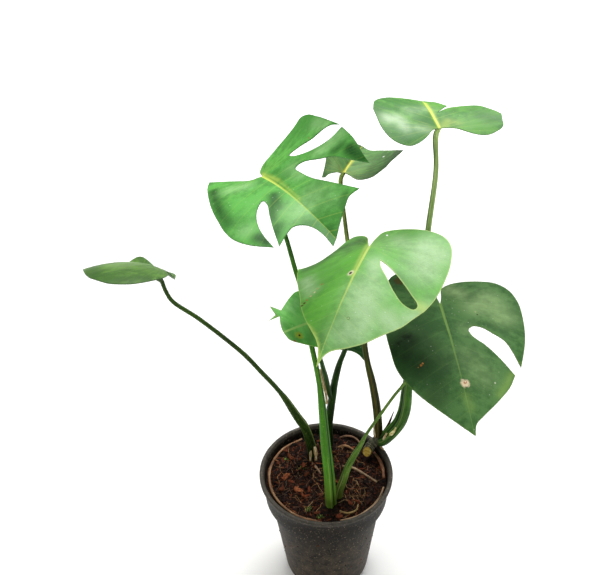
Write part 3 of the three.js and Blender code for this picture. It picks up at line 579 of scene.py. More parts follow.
# Each cushion: its middle, its spread and its number of leaves.
for middle_x, middle_y, spread, count in (
    (-29, 14.5, 5, 90), (-23, -52, 4, 70), (-10, -63, 3.6, 70), (-52, 30, 4, 40),
):
    for _ in range(count):
        x, y = middle_x + draw.normal(0, spread * 0.5), middle_y + draw.normal(0, spread * 0.4)
        base = np.array([x, y, soil_height(x, y) - 0.3])
        lean = draw.normal(0, 0.6, 2)
        tip = base + np.array([lean[0], lean[1], 1]) * draw.uniform(1.6, 3)
        ring = [base + 0.45 * np.array([math.cos(a), math.sin(a), 0]) for a in (0.3, 2.4, 4.5)]
        tufts.append((np.array([*ring, tip]), [(0, 1, 3), (1, 2, 3), (2, 0, 3), (2, 1, 0)], {}))
moss_points, moss_faces, _ = joined(tufts)
new_piece("moss_cushions", moss_points, moss_faces, moss)


# ---------------------------------------------------------------------------------------- surface roots
# Aerial and surface roots that have grown out over the mix and into it again: a long one round the inside of
# the wall, and shorter ones between. Each is one living rod, anchored by its two ends in the mix.
# Each root: its radius, its colour, and its route with the height over the mix.
ROOT_SIDES = 12
ROOTS = {
    "ring": (
        1.9, "#8a5f3c",
        [
            (-30, 67, -1), (-56, 47, 0.5), (-71, 17, 1), (-72, -8, 0.5), (-61, -38, 0.5), (-36, -62, 0.5),
            (-8, -71, 0),
        ],
    ),
    "edge": (1.6, "#a58463", [(14, -70, 0), (34, -65, 0.5), (52, -53, 0.5), (65, -37, 1), (71, -22, 0)]),
    "long": (1.7, "#8d7256", [(64, -14, 1), (53, -5, 1.5), (36, 9, 2), (22, 15, 0.5)]),
    "flat": (2.3, "#7a4a2c", [(65.5, 36, 1), (70.3, 25, 2), (73.6, 9, 1.5), (73.3, -8, 0)]),
    "arch": (1.6, "#6e4c33", [(22, 66, 0), (31, 66, 3), (43, 61, 3), (51, 50, 0)]),
    "tan": (1.7, "#8a6138", [(18, 48, 0), (28, 49, 2), (40, 42, 0)]),
    "loop": (1.3, "#8f7440", [(14, -56, 0), (24, -61, 2), (34, -57, 2), (37, -47, 0)]),
    "side": (1.5, "#7d6148", [(-17, 22, 0), (-12, 12, 2), (-6, 2, 0)]),
}
for name, (radius, colour, route) in ROOTS.items():
    # Dry root skin, dull and wrinkled lengthwise: its own tan or brown, darker in its folds and paler on its
    # ridges.
    skin, tree = new_material(f"dry_root_skin_{name}")
    along = add(tree, "Attribute", attribute_name="along")
    out_x = add(tree, "Attribute", attribute_name="out_x")
    out_y = add(tree, "Attribute", attribute_name="out_y")
    lengthwise = add(tree, "Math", {0: (along, "Fac"), 1: 0.16}, operation="MULTIPLY")
    place = add(tree, "CombineXYZ", {"X": (out_x, "Fac"), "Y": (out_y, "Fac"), "Z": (lengthwise, 0)})
    wrinkle = add(tree, "TexNoise", {"Vector": (place, 0), "Scale": 1.6, "Detail": 6, "Roughness": 0.7})
    patch = add(tree, "TexNoise", {"Vector": (place, 0), "Scale": 0.45, "Detail": 3})
    mixed = add(tree, "Math", {0: (wrinkle, "Fac"), 1: (patch, "Fac")}, operation="ADD")
    half = add(tree, "Math", {0: (mixed, 0), 1: 0.5}, operation="MULTIPLY")
    tone = add(
        tree,
        "ValToRGB",
        {0: (half, 0)},
        stops=[
            (0.4, linear("#24150c")), (0.48, linear(colour)), (0.54, linear(colour)),
            (0.64, linear("#c9ab84")),
        ],
    )
    relief = add(tree, "Bump", {"Height": (wrinkle, "Fac"), "Strength": 0.7, "Distance": 0.0006})
    shader = add(tree, "BsdfPrincipled", {"Base Color": (tone, 0), "Roughness": 0.7, "Normal": (relief, 0)})
    add(tree, "OutputMaterial", {"Surface": (shader, 0)})
    seed = len(name) + radius
    route = [(x, y, SOIL_LEVEL + lift) for x, y, lift in route]
    points, faces, numbers = rod(
        route,
        lambda u: radius * (0.72 + 0.25 * math.sin(math.pi * u)) * (
            1 + 0.14 * noise.noise(Vector((u * 14, seed, 0)))
        ),
        ROOT_SIDES,
        step=2,
        shape_at=lambda a, u: 1 + 0.06 * np.sin(3 * a + 9 * u) + 0.04 * np.sin(5 * a - 14 * u),
    )
    root = new_piece(f"surface_root_{name}", points, faces, skin, numbers)
    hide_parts(f"root_{name}")


# ------------------------------------------------------------------------------------------------ blades
# Each blade is a waxy leaf with a raised midrib, side veins that curve towards its edge, and splits that run
# in between two veins. It is grown as one piece, and hangs from the top of its stalk.
BLADE_THICKNESS = 0.9
EDGE_STEP = 2.2
# The net inside the edge: a triangular grid, whose rows lie 0.87 steps apart, and along the midrib a band
# with its own close rows. No point of it lies nearer to the edge than EDGE_KEEP.
GRID_STEP = 2.8
GRID_ROW = 0.87
EDGE_KEEP = 0.9
RIB_BAND = 4.5
RIB_STEP = 2.2
RIB_ROWS = (-3.2, -1.7, -0.8, 0, 0.8, 1.7, 3.2)
# Side veins leave the midrib at VEIN_ANGLE degrees at the joint, and at VEIN_LEAN less with each next one.
# Those behind the joint fan back by VEIN_FAN each. All curve forward on their way to the edge.
VEIN_ANGLE = 68
VEIN_LEAN = 1.6
VEIN_FAN = 13
VEIN_CURVE = 0.16


def blade_axes(leaf):
    """Along the midrib, to its left and out of the upper face, where the stalk joins the blade."""
    h, e, r = (math.radians(leaf[key]) for key in ("heading", "rise", "roll"))
    along = np.array([math.cos(h) * math.cos(e), math.sin(h) * math.cos(e), math.sin(e)])
    level = np.array([-math.sin(h), math.cos(h), 0])
    upright = np.cross(along, level)
    return along, level * math.cos(r) + upright * math.sin(r), upright * math.cos(r) - level * math.sin(r)


def blade_point(leaf, s, t, n):
    """Points s along the midrib and t to its left, n above the middle of the blade."""
    along, left, up = blade_axes(leaf)
    s, t, n = (np.asarray(v, dtype=float)[..., None] for v in (s, t, n))
    bend = np.where(s >= 0, math.radians(leaf["droop"]), math.radians(leaf["back"])) / 100 + 1e-9
    spine = np.array(leaf["joint"]) + along * np.sin(bend * s) / bend - up * (1 - np.cos(bend * s)) / bend
    lifted = along * np.sin(bend * s) + up * np.cos(bend * s)
    twist = math.radians(leaf["twist"]) * s / 100
    across = left * np.cos(twist) + lifted * np.sin(twist)
    out = lifted * np.cos(twist) - left * np.sin(twist)
    fold = np.where(t >= 0, math.radians(leaf["fold"][0]), math.radians(leaf["fold"][1]))
    curl = np.where(t >= 0, math.radians(leaf["curl"][0]), math.radians(leaf["curl"][1])) / 100 + 1e-9
    angle = fold + curl * np.abs(t)
    side = np.sign(t)
    for x, y, height, radius in leaf.get("lifts", []):
        n = n + height * np.exp(-((s - x) ** 2 + (t - y) ** 2) / radius**2)
    return (
        spine
        + across * side * (np.sin(angle) - np.sin(fold)) / curl
        + out * (np.cos(fold) - np.cos(angle)) / curl
        + out * n * np.cos(angle)
        - across * side * n * np.sin(angle)
    )


def inside(loops, points):
    """Which points lie within the outline and outside its holes."""
    odd = np.zeros(len(points), dtype=bool)
    x, y = points[:, 0], points[:, 1]
    for loop in loops:
        for a, b in zip(loop, np.roll(loop, 1, axis=0)):
            if a[1] != b[1]:
                odd ^= ((a[1] > y) != (b[1] > y)) & (x < (b[0] - a[0]) * (y - a[1]) / (b[1] - a[1]) + a[0])
    return odd


def edge_distance(loops, points):
    """Distance in millimetres from each point to the nearest edge of the blade."""
    best = np.full(len(points), 1e9)
    for loop in loops:
        for a, b in zip(loop, np.roll(loop, -1, axis=0)):
            d = b - a
            share = np.clip(((points - a) @ d) / max(d @ d, 1e-9), 0, 1)
            best = np.minimum(best, np.linalg.norm(points - a - share[:, None] * d, axis=1))
    return best


def vein_number(leaf, s, t):
    """Counts the side veins: whole numbers lie on a vein. Those under zero fan back from the joint."""
    reach = np.abs(t)
    low, high = np.full(len(s), -8.4), np.full(len(s), 16.0)
    for _ in range(34):
        m = (low + high) / 2
        angle = np.radians(np.where(m >= 0, VEIN_ANGLE - VEIN_LEAN * m, VEIN_ANGLE - VEIN_FAN * m))
        place = np.maximum(m, 0) * leaf["veins"] + reach / np.tan(angle) + VEIN_CURVE * reach**2 / 100
        low, high = np.where(place < s, m, low), np.where(place < s, high, m)
    return (low + high) / 2


def tint_on(leaf, kind, points):
    """How strongly a tint shows at each point: most on its lines, fading over their radius."""
    strength = np.zeros(len(points))
    for name, line, radius, most in leaf.get("tints", []):
        if name == kind:
            there_and_back = np.array([*line, *line[::-1]], dtype=float)
            strength = np.maximum(
                strength, most * np.exp(-((edge_distance([there_and_back], points) / radius) ** 2)),
            )
    return strength


def make_blade(leaf):
    """A blade's mesh: an upper and an under face over one flat net, joined round the edge and the holes."""
    outline = np.vstack([smooth_run(run, EDGE_STEP)[:-1] for run in leaf["edge"]])
    loops = [outline]
    for hole in leaf.get("holes", []):
        loops.append(smooth_run([*hole, hole[0]], EDGE_STEP)[:-1])
    low, high = outline.min(axis=0), outline.max(axis=0)
    inner = []
    row_step = GRID_STEP * GRID_ROW
    for row in range(math.floor(low[1] / row_step), math.ceil(high[1] / row_step)):
        for column in range(math.floor(low[0] / GRID_STEP), math.ceil(high[0] / GRID_STEP)):
            inner.append(((column + 0.5 * (row % 2)) * GRID_STEP, row * GRID_STEP * GRID_ROW))
    inner = [p for p in inner if abs(p[1]) > RIB_BAND]
    for s in np.arange(low[0], high[0], RIB_STEP):
        inner += [(s, t) for t in RIB_ROWS]
    inner = np.array(inner)
    inner = inner[inside(loops, inner)]
    inner = inner[edge_distance(loops, inner) > EDGE_KEEP]
    flat = np.vstack([*loops, inner])
    edges, first = [], 0
    for loop in loops:
        edges += [(first + i, first + (i + 1) % len(loop)) for i in range(len(loop))]
        first += len(loop)
    made = delaunay_2d_cdt([Vector(p) for p in flat], edges, [], 0, 1e-5)
    flat = np.array([tuple(p) for p in made[0]])
    faces = np.array([f for f in made[2] if len(f) == 3])
    faces = faces[inside(loops, flat[faces].mean(axis=1))]
    a, b, c = (flat[faces[:, k]] for k in range(3))
    turn = (b[:, 0] - a[:, 0]) * (c[:, 1] - a[:, 1]) - (b[:, 1] - a[:, 1]) * (c[:, 0] - a[:, 0])
    faces = faces[np.abs(turn) > 1e-6]
    turn = turn[np.abs(turn) > 1e-6]
    faces[turn < 0] = faces[turn < 0][:, ::-1]
    s, t = flat[:, 0], flat[:, 1]
    margin = edge_distance(loops, flat)
    # slope is how fast the vein number changes per millimetre: it keeps the drawn veins at an even width.
    vein = vein_number(leaf, s, t)
    slope = np.hypot(vein_number(leaf, s + 0.05, t) - vein, vein_number(leaf, s, t + 0.05) - vein) / 0.05
    away = np.clip(np.abs(t) / 9, 0, 1) * np.clip(margin / 6, 0, 1) * np.clip(np.hypot(s, t) / 25, 0, 1)
    # The blade swells between its veins, waves slowly, and carries its midrib below.
    quilt = 0.45 * leaf["quilt"] * np.sin(np.pi * vein) ** 2 * away
    ripple = np.array([noise.noise(Vector((x * 0.028, y * 0.028, leaf["heading"]))) for x, y in flat])
    waves = leaf["waves"] * ripple * np.clip(np.hypot(s, t) / 30, 0, 1)
    rib = np.exp(-((t / 1.5) ** 2)) * np.clip(1 - s / (leaf["length"] * 1.05), 0, 1) * np.where(s >= -1, 1, 0)
    top = blade_point(leaf, s, t, BLADE_THICKNESS / 2 + quilt + waves - 0.35 * rib)
    under = blade_point(leaf, s, t, -BLADE_THICKNESS / 2 + quilt * 0.7 + waves - 1.3 * rib)
    count = len(flat)
    owners = {}
    for face in faces:
        for i, j in ((face[0], face[1]), (face[1], face[2]), (face[2], face[0])):
            owners[(int(i), int(j))] = owners.get((int(i), int(j)), 0) + 1
    rim = [(i, j) for i, j in owners if (j, i) not in owners]
    all_faces = [*faces.tolist(), *(faces[:, ::-1] + count).tolist()]
    all_faces += [(j, i, i + count, j + count) for i, j in rim]
    tints = {kind: np.tile(tint_on(leaf, kind, flat), 2) for kind in ("pale", "fresh", "dark", "gold")}
    numbers = {
        **tints,
        "along": np.tile(s, 2),
        "across": np.tile(t, 2),
        "vein": np.tile(vein, 2),
        "slope": np.tile(np.maximum(slope, 0.01), 2),
        "margin": np.tile(margin, 2),
        "face": np.repeat([1.0, 0.0], count),
    }
    skin = LEAF_SKINS[leaf["name"]]
    piece = new_piece(f"leaf_{leaf['name']}", np.vstack([top, under]), all_faces, skin, numbers)
    sharp = {tuple(sorted((i + k, j + k))) for i, j in rim for k in (0, count)}
    for edge in piece.data.edges:
        edge.use_edge_sharp = tuple(sorted(edge.vertices)) in sharp
    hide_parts(f"blade_{leaf['name']}")
    return piece


def leaf_skin(name, deep, fresh, pale, margin, under, shaded, gloss=0.42, shine=0.2, vein_tint=0.15,
              bloom_and_sheen="#b4cfa0", spots=()):
    """A living blade. Its green runs from deep to fresh, with tints where the leaf is named to have them:
    pale where wax bloom and painted sheen lie on it, dark where shade is painted on, gold by the midrib and
    at worn edges. Veins fade towards the margin."""
    material, tree = new_material(name)
    place = add(tree, "TexCoord")
    along = add(tree, "Attribute", attribute_name="along")
    across = add(tree, "Attribute", attribute_name="across")
    vein = add(tree, "Attribute", attribute_name="vein")
    slope = add(tree, "Attribute", attribute_name="slope")
    edge = add(tree, "Attribute", attribute_name="margin")
    face = add(tree, "Attribute", attribute_name="face")
    # Side veins, about 1.2 mm wide, and the finer ones between them, about 0.5 mm.
    fold = add(tree, "Math", {0: (vein, "Fac"), 1: 0.5}, operation="PINGPONG")
    gap = add(tree, "Math", {0: (fold, 0), 1: (slope, "Fac")}, operation="DIVIDE")
    side_vein = add(
        tree, "MapRange", {"Value": (gap, 0), "From Min": 0.9, "From Max": 0.2},
        interpolation_type="SMOOTHSTEP",
    )
    many = add(tree, "Math", {0: (vein, "Fac"), 1: 5}, operation="MULTIPLY")
    fold_fine = add(tree, "Math", {0: (many, 0), 1: 0.5}, operation="PINGPONG")
    scaled = add(tree, "Math", {0: (slope, "Fac"), 1: 5}, operation="MULTIPLY")
    gap_fine = add(tree, "Math", {0: (fold_fine, 0), 1: (scaled, 0)}, operation="DIVIDE")
    fine_vein = add(
        tree, "MapRange", {"Value": (gap_fine, 0), "From Min": 0.6, "From Max": 0.1},
        interpolation_type="SMOOTHSTEP",
    )
    off = add(tree, "Math", {0: (across, "Fac")}, operation="ABSOLUTE")
    rib_width = add(
        tree, "MapRange",
        {"Value": (along, "Fac"), "From Min": 0, "From Max": 120, "To Min": 1.7, "To Max": 0.42},
    )
    rib_share = add(tree, "Math", {0: (off, 0), 1: (rib_width, 0)}, operation="DIVIDE")
    rib = add(
        tree, "MapRange", {"Value": (rib_share, 0), "From Min": 1.2, "From Max": 0.5},
        interpolation_type="SMOOTHSTEP",
    )
    ahead = add(tree, "MapRange", {"Value": (along, "Fac"), "From Min": -3, "From Max": 0})
    rib_fade = add(
        tree, "MapRange",
        {"Value": (along, "Fac"), "From Min": 15, "From Max": 95, "To Min": 0.95, "To Max": 0.35},
    )
    rib_shown = add(tree, "Math", {0: (rib, 0), 1: (ahead, 0)}, operation="MULTIPLY")
    midrib = add(tree, "Math", {0: (rib_shown, 0), 1: (rib_fade, 0)}, operation="MULTIPLY")
    # Mottling: slow changes of green over 30 to 50 mm, cloudy patches of 3 to 8 mm, and soft streaks along
    # the veins.
    slow = add(tree, "TexNoise", {"Vector": (place, "Object"), "Scale": 24, "Detail": 2, "Roughness": 0.5})
    cloud = add(tree, "TexNoise", {"Vector": (place, "Object"), "Scale": 150, "Detail": 5, "Roughness": 0.65})
    flow = add(tree, "CombineXYZ", {"X": (many, 0), "Y": (off, 0)})
    flow_scale = add(tree, "VectorMath", {0: (flow, 0), 1: (0.35, 0.035, 1)}, operation="MULTIPLY")
    streaks = add(tree, "TexNoise", {"Vector": (flow_scale, 0), "Scale": 1, "Detail": 3, "Roughness": 0.5})
    soft = add(tree, "Math", {0: (streaks, "Fac"), 1: 0.5, 2: (slow, "Fac")}, operation="MULTIPLY_ADD")
    mixed = add(tree, "Math", {0: (cloud, "Fac"), 1: 0.8, 2: (soft, 0)}, operation="MULTIPLY_ADD")
    green = add(
        tree, "MapRange", {"Value": (mixed, 0), "From Min": 0.98, "From Max": 1.33},
        interpolation_type="SMOOTHSTEP",
    )
    upper = add(tree, "Mix", {"Factor": (green, 0), "A": linear(deep), "B": linear(fresh)}, data_type="RGBA")
    ragged = add(
        tree, "MapRange",
        {"Value": (mixed, 0), "From Min": 0.92, "From Max": 1.33, "To Min": 0.65, "To Max": 1.25},
    )
    # The pale tint is wax bloom with a painted sheen on it; the dark tint is painted shade.
    for kind, colour in (("fresh", fresh), ("dark", shaded), ("pale", bloom_and_sheen)):
        named = add(tree, "Attribute", attribute_name=kind)
        shown = add(tree, "Math", {0: (named, "Fac"), 1: (ragged, 0)}, operation="MULTIPLY", use_clamp=True)
        upper = add(
            tree, "Mix", {"Factor": (shown, 0), "A": (upper, "Result"), "B": linear(colour)},
            data_type="RGBA",
        )
    vein_fade = add(
        tree, "MapRange",
        {"Value": (off, 0), "From Min": 6, "From Max": 50, "To Min": vein_tint, "To Max": vein_tint * 0.3},
    )
    veins = add(tree, "Math", {0: (side_vein, 0), 1: (vein_fade, 0)}, operation="MULTIPLY")
    fines = add(tree, "Math", {0: (fine_vein, 0), 1: vein_tint * 0.12}, operation="MULTIPLY")
    vein_all = add(tree, "Math", {0: (veins, 0), 1: (fines, 0)}, operation="ADD")
    veined = add(
        tree, "Mix", {"Factor": (vein_all, 0), "A": (upper, "Result"), "B": linear(pale)}, data_type="RGBA",
    )
    named = add(tree, "Attribute", attribute_name="gold")
    golden = add(
        tree, "Mix", {"Factor": (named, "Fac"), "A": (veined, "Result"), "B": linear(pale)}, data_type="RGBA",
    )
    ribbed = add(
        tree, "Mix", {"Factor": (midrib, 0), "A": (golden, "Result"), "B": linear(pale)}, data_type="RGBA",
    )
    rim = add(tree, "MapRange", {"Value": (edge, "Fac"), "From Min": 1.0, "From Max": 0.2, "To Max": 0.6})
    upper = add(
        tree, "Mix", {"Factor": (rim, 0), "A": (ribbed, "Result"), "B": linear(margin)}, data_type="RGBA",
    )
    # Dried water drops: pale specks about 0.6 mm across, here and there.
    drops = add(tree, "TexVoronoi", {"Vector": (place, "Object"), "Scale": 170})
    drop = add(
        tree, "MapRange", {"Value": (drops, "Distance"), "From Min": 0.11, "From Max": 0.05, "To Max": 0.4},
    )
    patchy = add(tree, "MapRange", {"Value": (slow, "Fac"), "From Min": 0.44, "From Max": 0.58})
    dropped = add(tree, "Math", {0: (drop, 0), 1: (patchy, 0)}, operation="MULTIPLY")
    upper = add(
        tree, "Mix", {"Factor": (dropped, 0), "A": (upper, "Result"), "B": linear("#dfe8d2")},
        data_type="RGBA",
    )
    # Blemishes, each at its place on the blade: where, radius of its middle, radius of its edge, colour.
    flat_place = add(tree, "CombineXYZ", {"X": (along, "Fac"), "Y": (across, "Fac")})
    frayed = add(tree, "TexNoise", {"Vector": (place, "Object"), "Scale": 420, "Detail": 3})
    for s, t, inner_radius, outer_radius, colour in spots:
        reach = add(tree, "VectorMath", {0: (flat_place, 0), 1: (s, t, 0)}, operation="DISTANCE")
        wobble = add(
            tree, "Math", {0: (frayed, "Fac"), 1: outer_radius * 0.9, 2: (reach, "Value")},
            operation="MULTIPLY_ADD",
        )
        ends = {"From Min": outer_radius * 1.45, "From Max": inner_radius + outer_radius * 0.45}
        mark = add(tree, "MapRange", {"Value": (wobble, 0), **ends}, interpolation_type="SMOOTHSTEP")
        upper = add(
            tree, "Mix", {"Factor": (mark, 0), "A": (upper, "Result"), "B": linear(colour)}, data_type="RGBA",
        )
    # The underside is duller and greyer, with the same veins.
    back = add(
        tree, "Mix", {"Factor": (vein_all, 0), "A": linear(under), "B": linear(pale)}, data_type="RGBA",
    )
    back_rib = add(
        tree, "Mix", {"Factor": (midrib, 0), "A": (back, "Result"), "B": linear(pale)}, data_type="RGBA",
    )
    colour = add(
        tree, "Mix", {"Factor": (face, "Fac"), "A": (back_rib, "Result"), "B": (upper, "Result")},
        data_type="RGBA",
    )
    rough_top = add(
        tree, "MapRange",
        {"Value": (cloud, "Fac"), "From Min": 0.3, "From Max": 0.75, "To Min": gloss, "To Max": gloss + 0.14},
    )
    rough = add(tree, "Mix", {"Factor": (face, "Fac"), "A": 0.6, "B": (rough_top, 0)}, data_type="FLOAT")
    cells = add(tree, "TexVoronoi", {"Vector": (place, "Object"), "Scale": 900})
    sunk = add(tree, "Math", {0: (vein_all, 0), 1: -1.2, 2: (cells, "Distance")}, operation="MULTIPLY_ADD")
    relief = add(tree, "Bump", {"Height": (sunk, 0), "Strength": 0.3, "Distance": 0.0003})
    shader = add(
        tree,
        "BsdfPrincipled",
        {
            "Base Color": (colour, "Result"),
            "Roughness": (rough, "Result"),
            "Normal": (relief, 0),
            "IOR": 1.45,
            "Specular IOR Level": shine,
            "Subsurface Weight": 0.08,
            "Subsurface Radius": (0.0012, 0.002, 0.0005),
            "Subsurface Scale": 1.0,
        },
    )
    add(tree, "OutputMaterial", {"Surface": (shader, 0)})
    return material


# Each blade's colours are its deep, fresh, pale, margin, under and shaded ones; the shaded one is painted
# shade, and the whitish one given after them is wax bloom with a painted sheen. Its spots are placed along
# and across it.
LEAF_SKINS = {
    "front": leaf_skin(
        "light_waxy_leaf", "#56983a", "#66b042", "#c6d870", "#c3d67c", "#5f8a45", "#1b4a12", bloom_and_sheen="#b2cfa2",
        vein_tint=0.1, shine=0.3,
        spots=[(38, -5, 1.9, 4.6, "#ece4c0"), (38, -5, 1.2, 2.6, "#1c180a"), (90, 11, 1.0, 2.0, "#6a8c4c"),
               (90, 11, 0.5, 1.0, "#a4c488"), (-20, 11, 0.6, 1.4, "#f2f4ea"), (76, -42, 0.8, 1.8, "#4c2c16"),
               (73, -41, 0.8, 1.8, "#5a3418"), (69, -40, 0.5, 1.6, "#a0703c"), (64, -38, 0.4, 1.4, "#c8a884"),
               (59, -36, 0.4, 1.5, "#d8c8a0"), (54, -35, 0.4, 1.4, "#b4845c"),
               (48, -33, 0.6, 1.5, "#a8683c")],
    ),
    "right": leaf_skin(
        "dark_waxy_leaf", "#355c2e", "#4f7842", "#7a9c50", "#5c7c30", "#3f5f38", "#0f260c", bloom_and_sheen="#8fac74",
        gloss=0.5, shine=0.08, vein_tint=0.1,
        spots=[(99, 2, 2.6, 5.2, "#dcc8a8"), (98, 2.5, 1.0, 2.2, "#a8704c"), (97.5, 2.6, 0.4, 1.0, "#ead8bc"),
               (78, -35, 0.6, 1.6, "#a8682c"), (76, -33, 0.4, 1.2, "#b87a3a"), (80, -38, 0.3, 1.0, "#a8743a"),
               (-43, -36, 0.7, 1.7, "#d08a30"), (-40, -34, 4, 9, "#4a4418"), (14, 33, 0.5, 1.4, "#9aa078"),
               (18, 34, 0.4, 1.2, "#3a4a2c"), (100, 30, 0.4, 1.2, "#a8b894")],
    ),
    "upper": leaf_skin(
        "mid_waxy_leaf", "#458a37", "#5cab49", "#c4d45c", "#35702a", "#4f7a45", "#134a12", bloom_and_sheen="#94c282",
        spots=[(34, 60, 0.4, 1.3, "#e4ecd4"), (14, 55, 0.4, 1.6, "#8a7a4c")],
    ),
    "top": leaf_skin(
        "top_waxy_leaf", "#3a7a2c", "#5c9c3c", "#ccdc5c", "#4c8034", "#4f7a45", "#1f5c1a", bloom_and_sheen="#b4cca8",
        shine=0.25,
        spots=[(44, -22, 0.8, 2.4, "#cfd9a4")],
    ),
    "back": leaf_skin(
        "grey_waxy_leaf", "#47693c", "#5c8a4c", "#d0cc5c", "#47683a", "#5a7550", "#3c5a38", bloom_and_sheen="#7ea46c",
        spots=[(29, -40, 0.8, 1.8, "#f0f2ea")],
    ),
    "left": leaf_skin(
        "left_waxy_leaf", "#3c6322", "#5a8434", "#8aa858", "#34541e", "#44683a", "#26481a", bloom_and_sheen="#8aa868",
        shine=0.25,
    ),
    "low": leaf_skin(
        "young_waxy_leaf", "#64bc50", "#84d46e", "#b4dc80", "#86a848", "#4f7a45", "#3a7c30", bloom_and_sheen="#a8d89c",
        vein_tint=0.1, shine=0.25,
        spots=[(36, 9, 2.2, 5.4, "#a8b83c"), (36, 9, 0.7, 1.7, "#35300f"), (45, 13, 1.0, 2.6, "#8c5c2c")],
    ),
    "hidden": leaf_skin(
        "shaded_waxy_leaf", "#14331a", "#204a20", "#6f8c50", "#62803a", "#33502c", "#0f2612", bloom_and_sheen="#4a6a44",
    ),
}
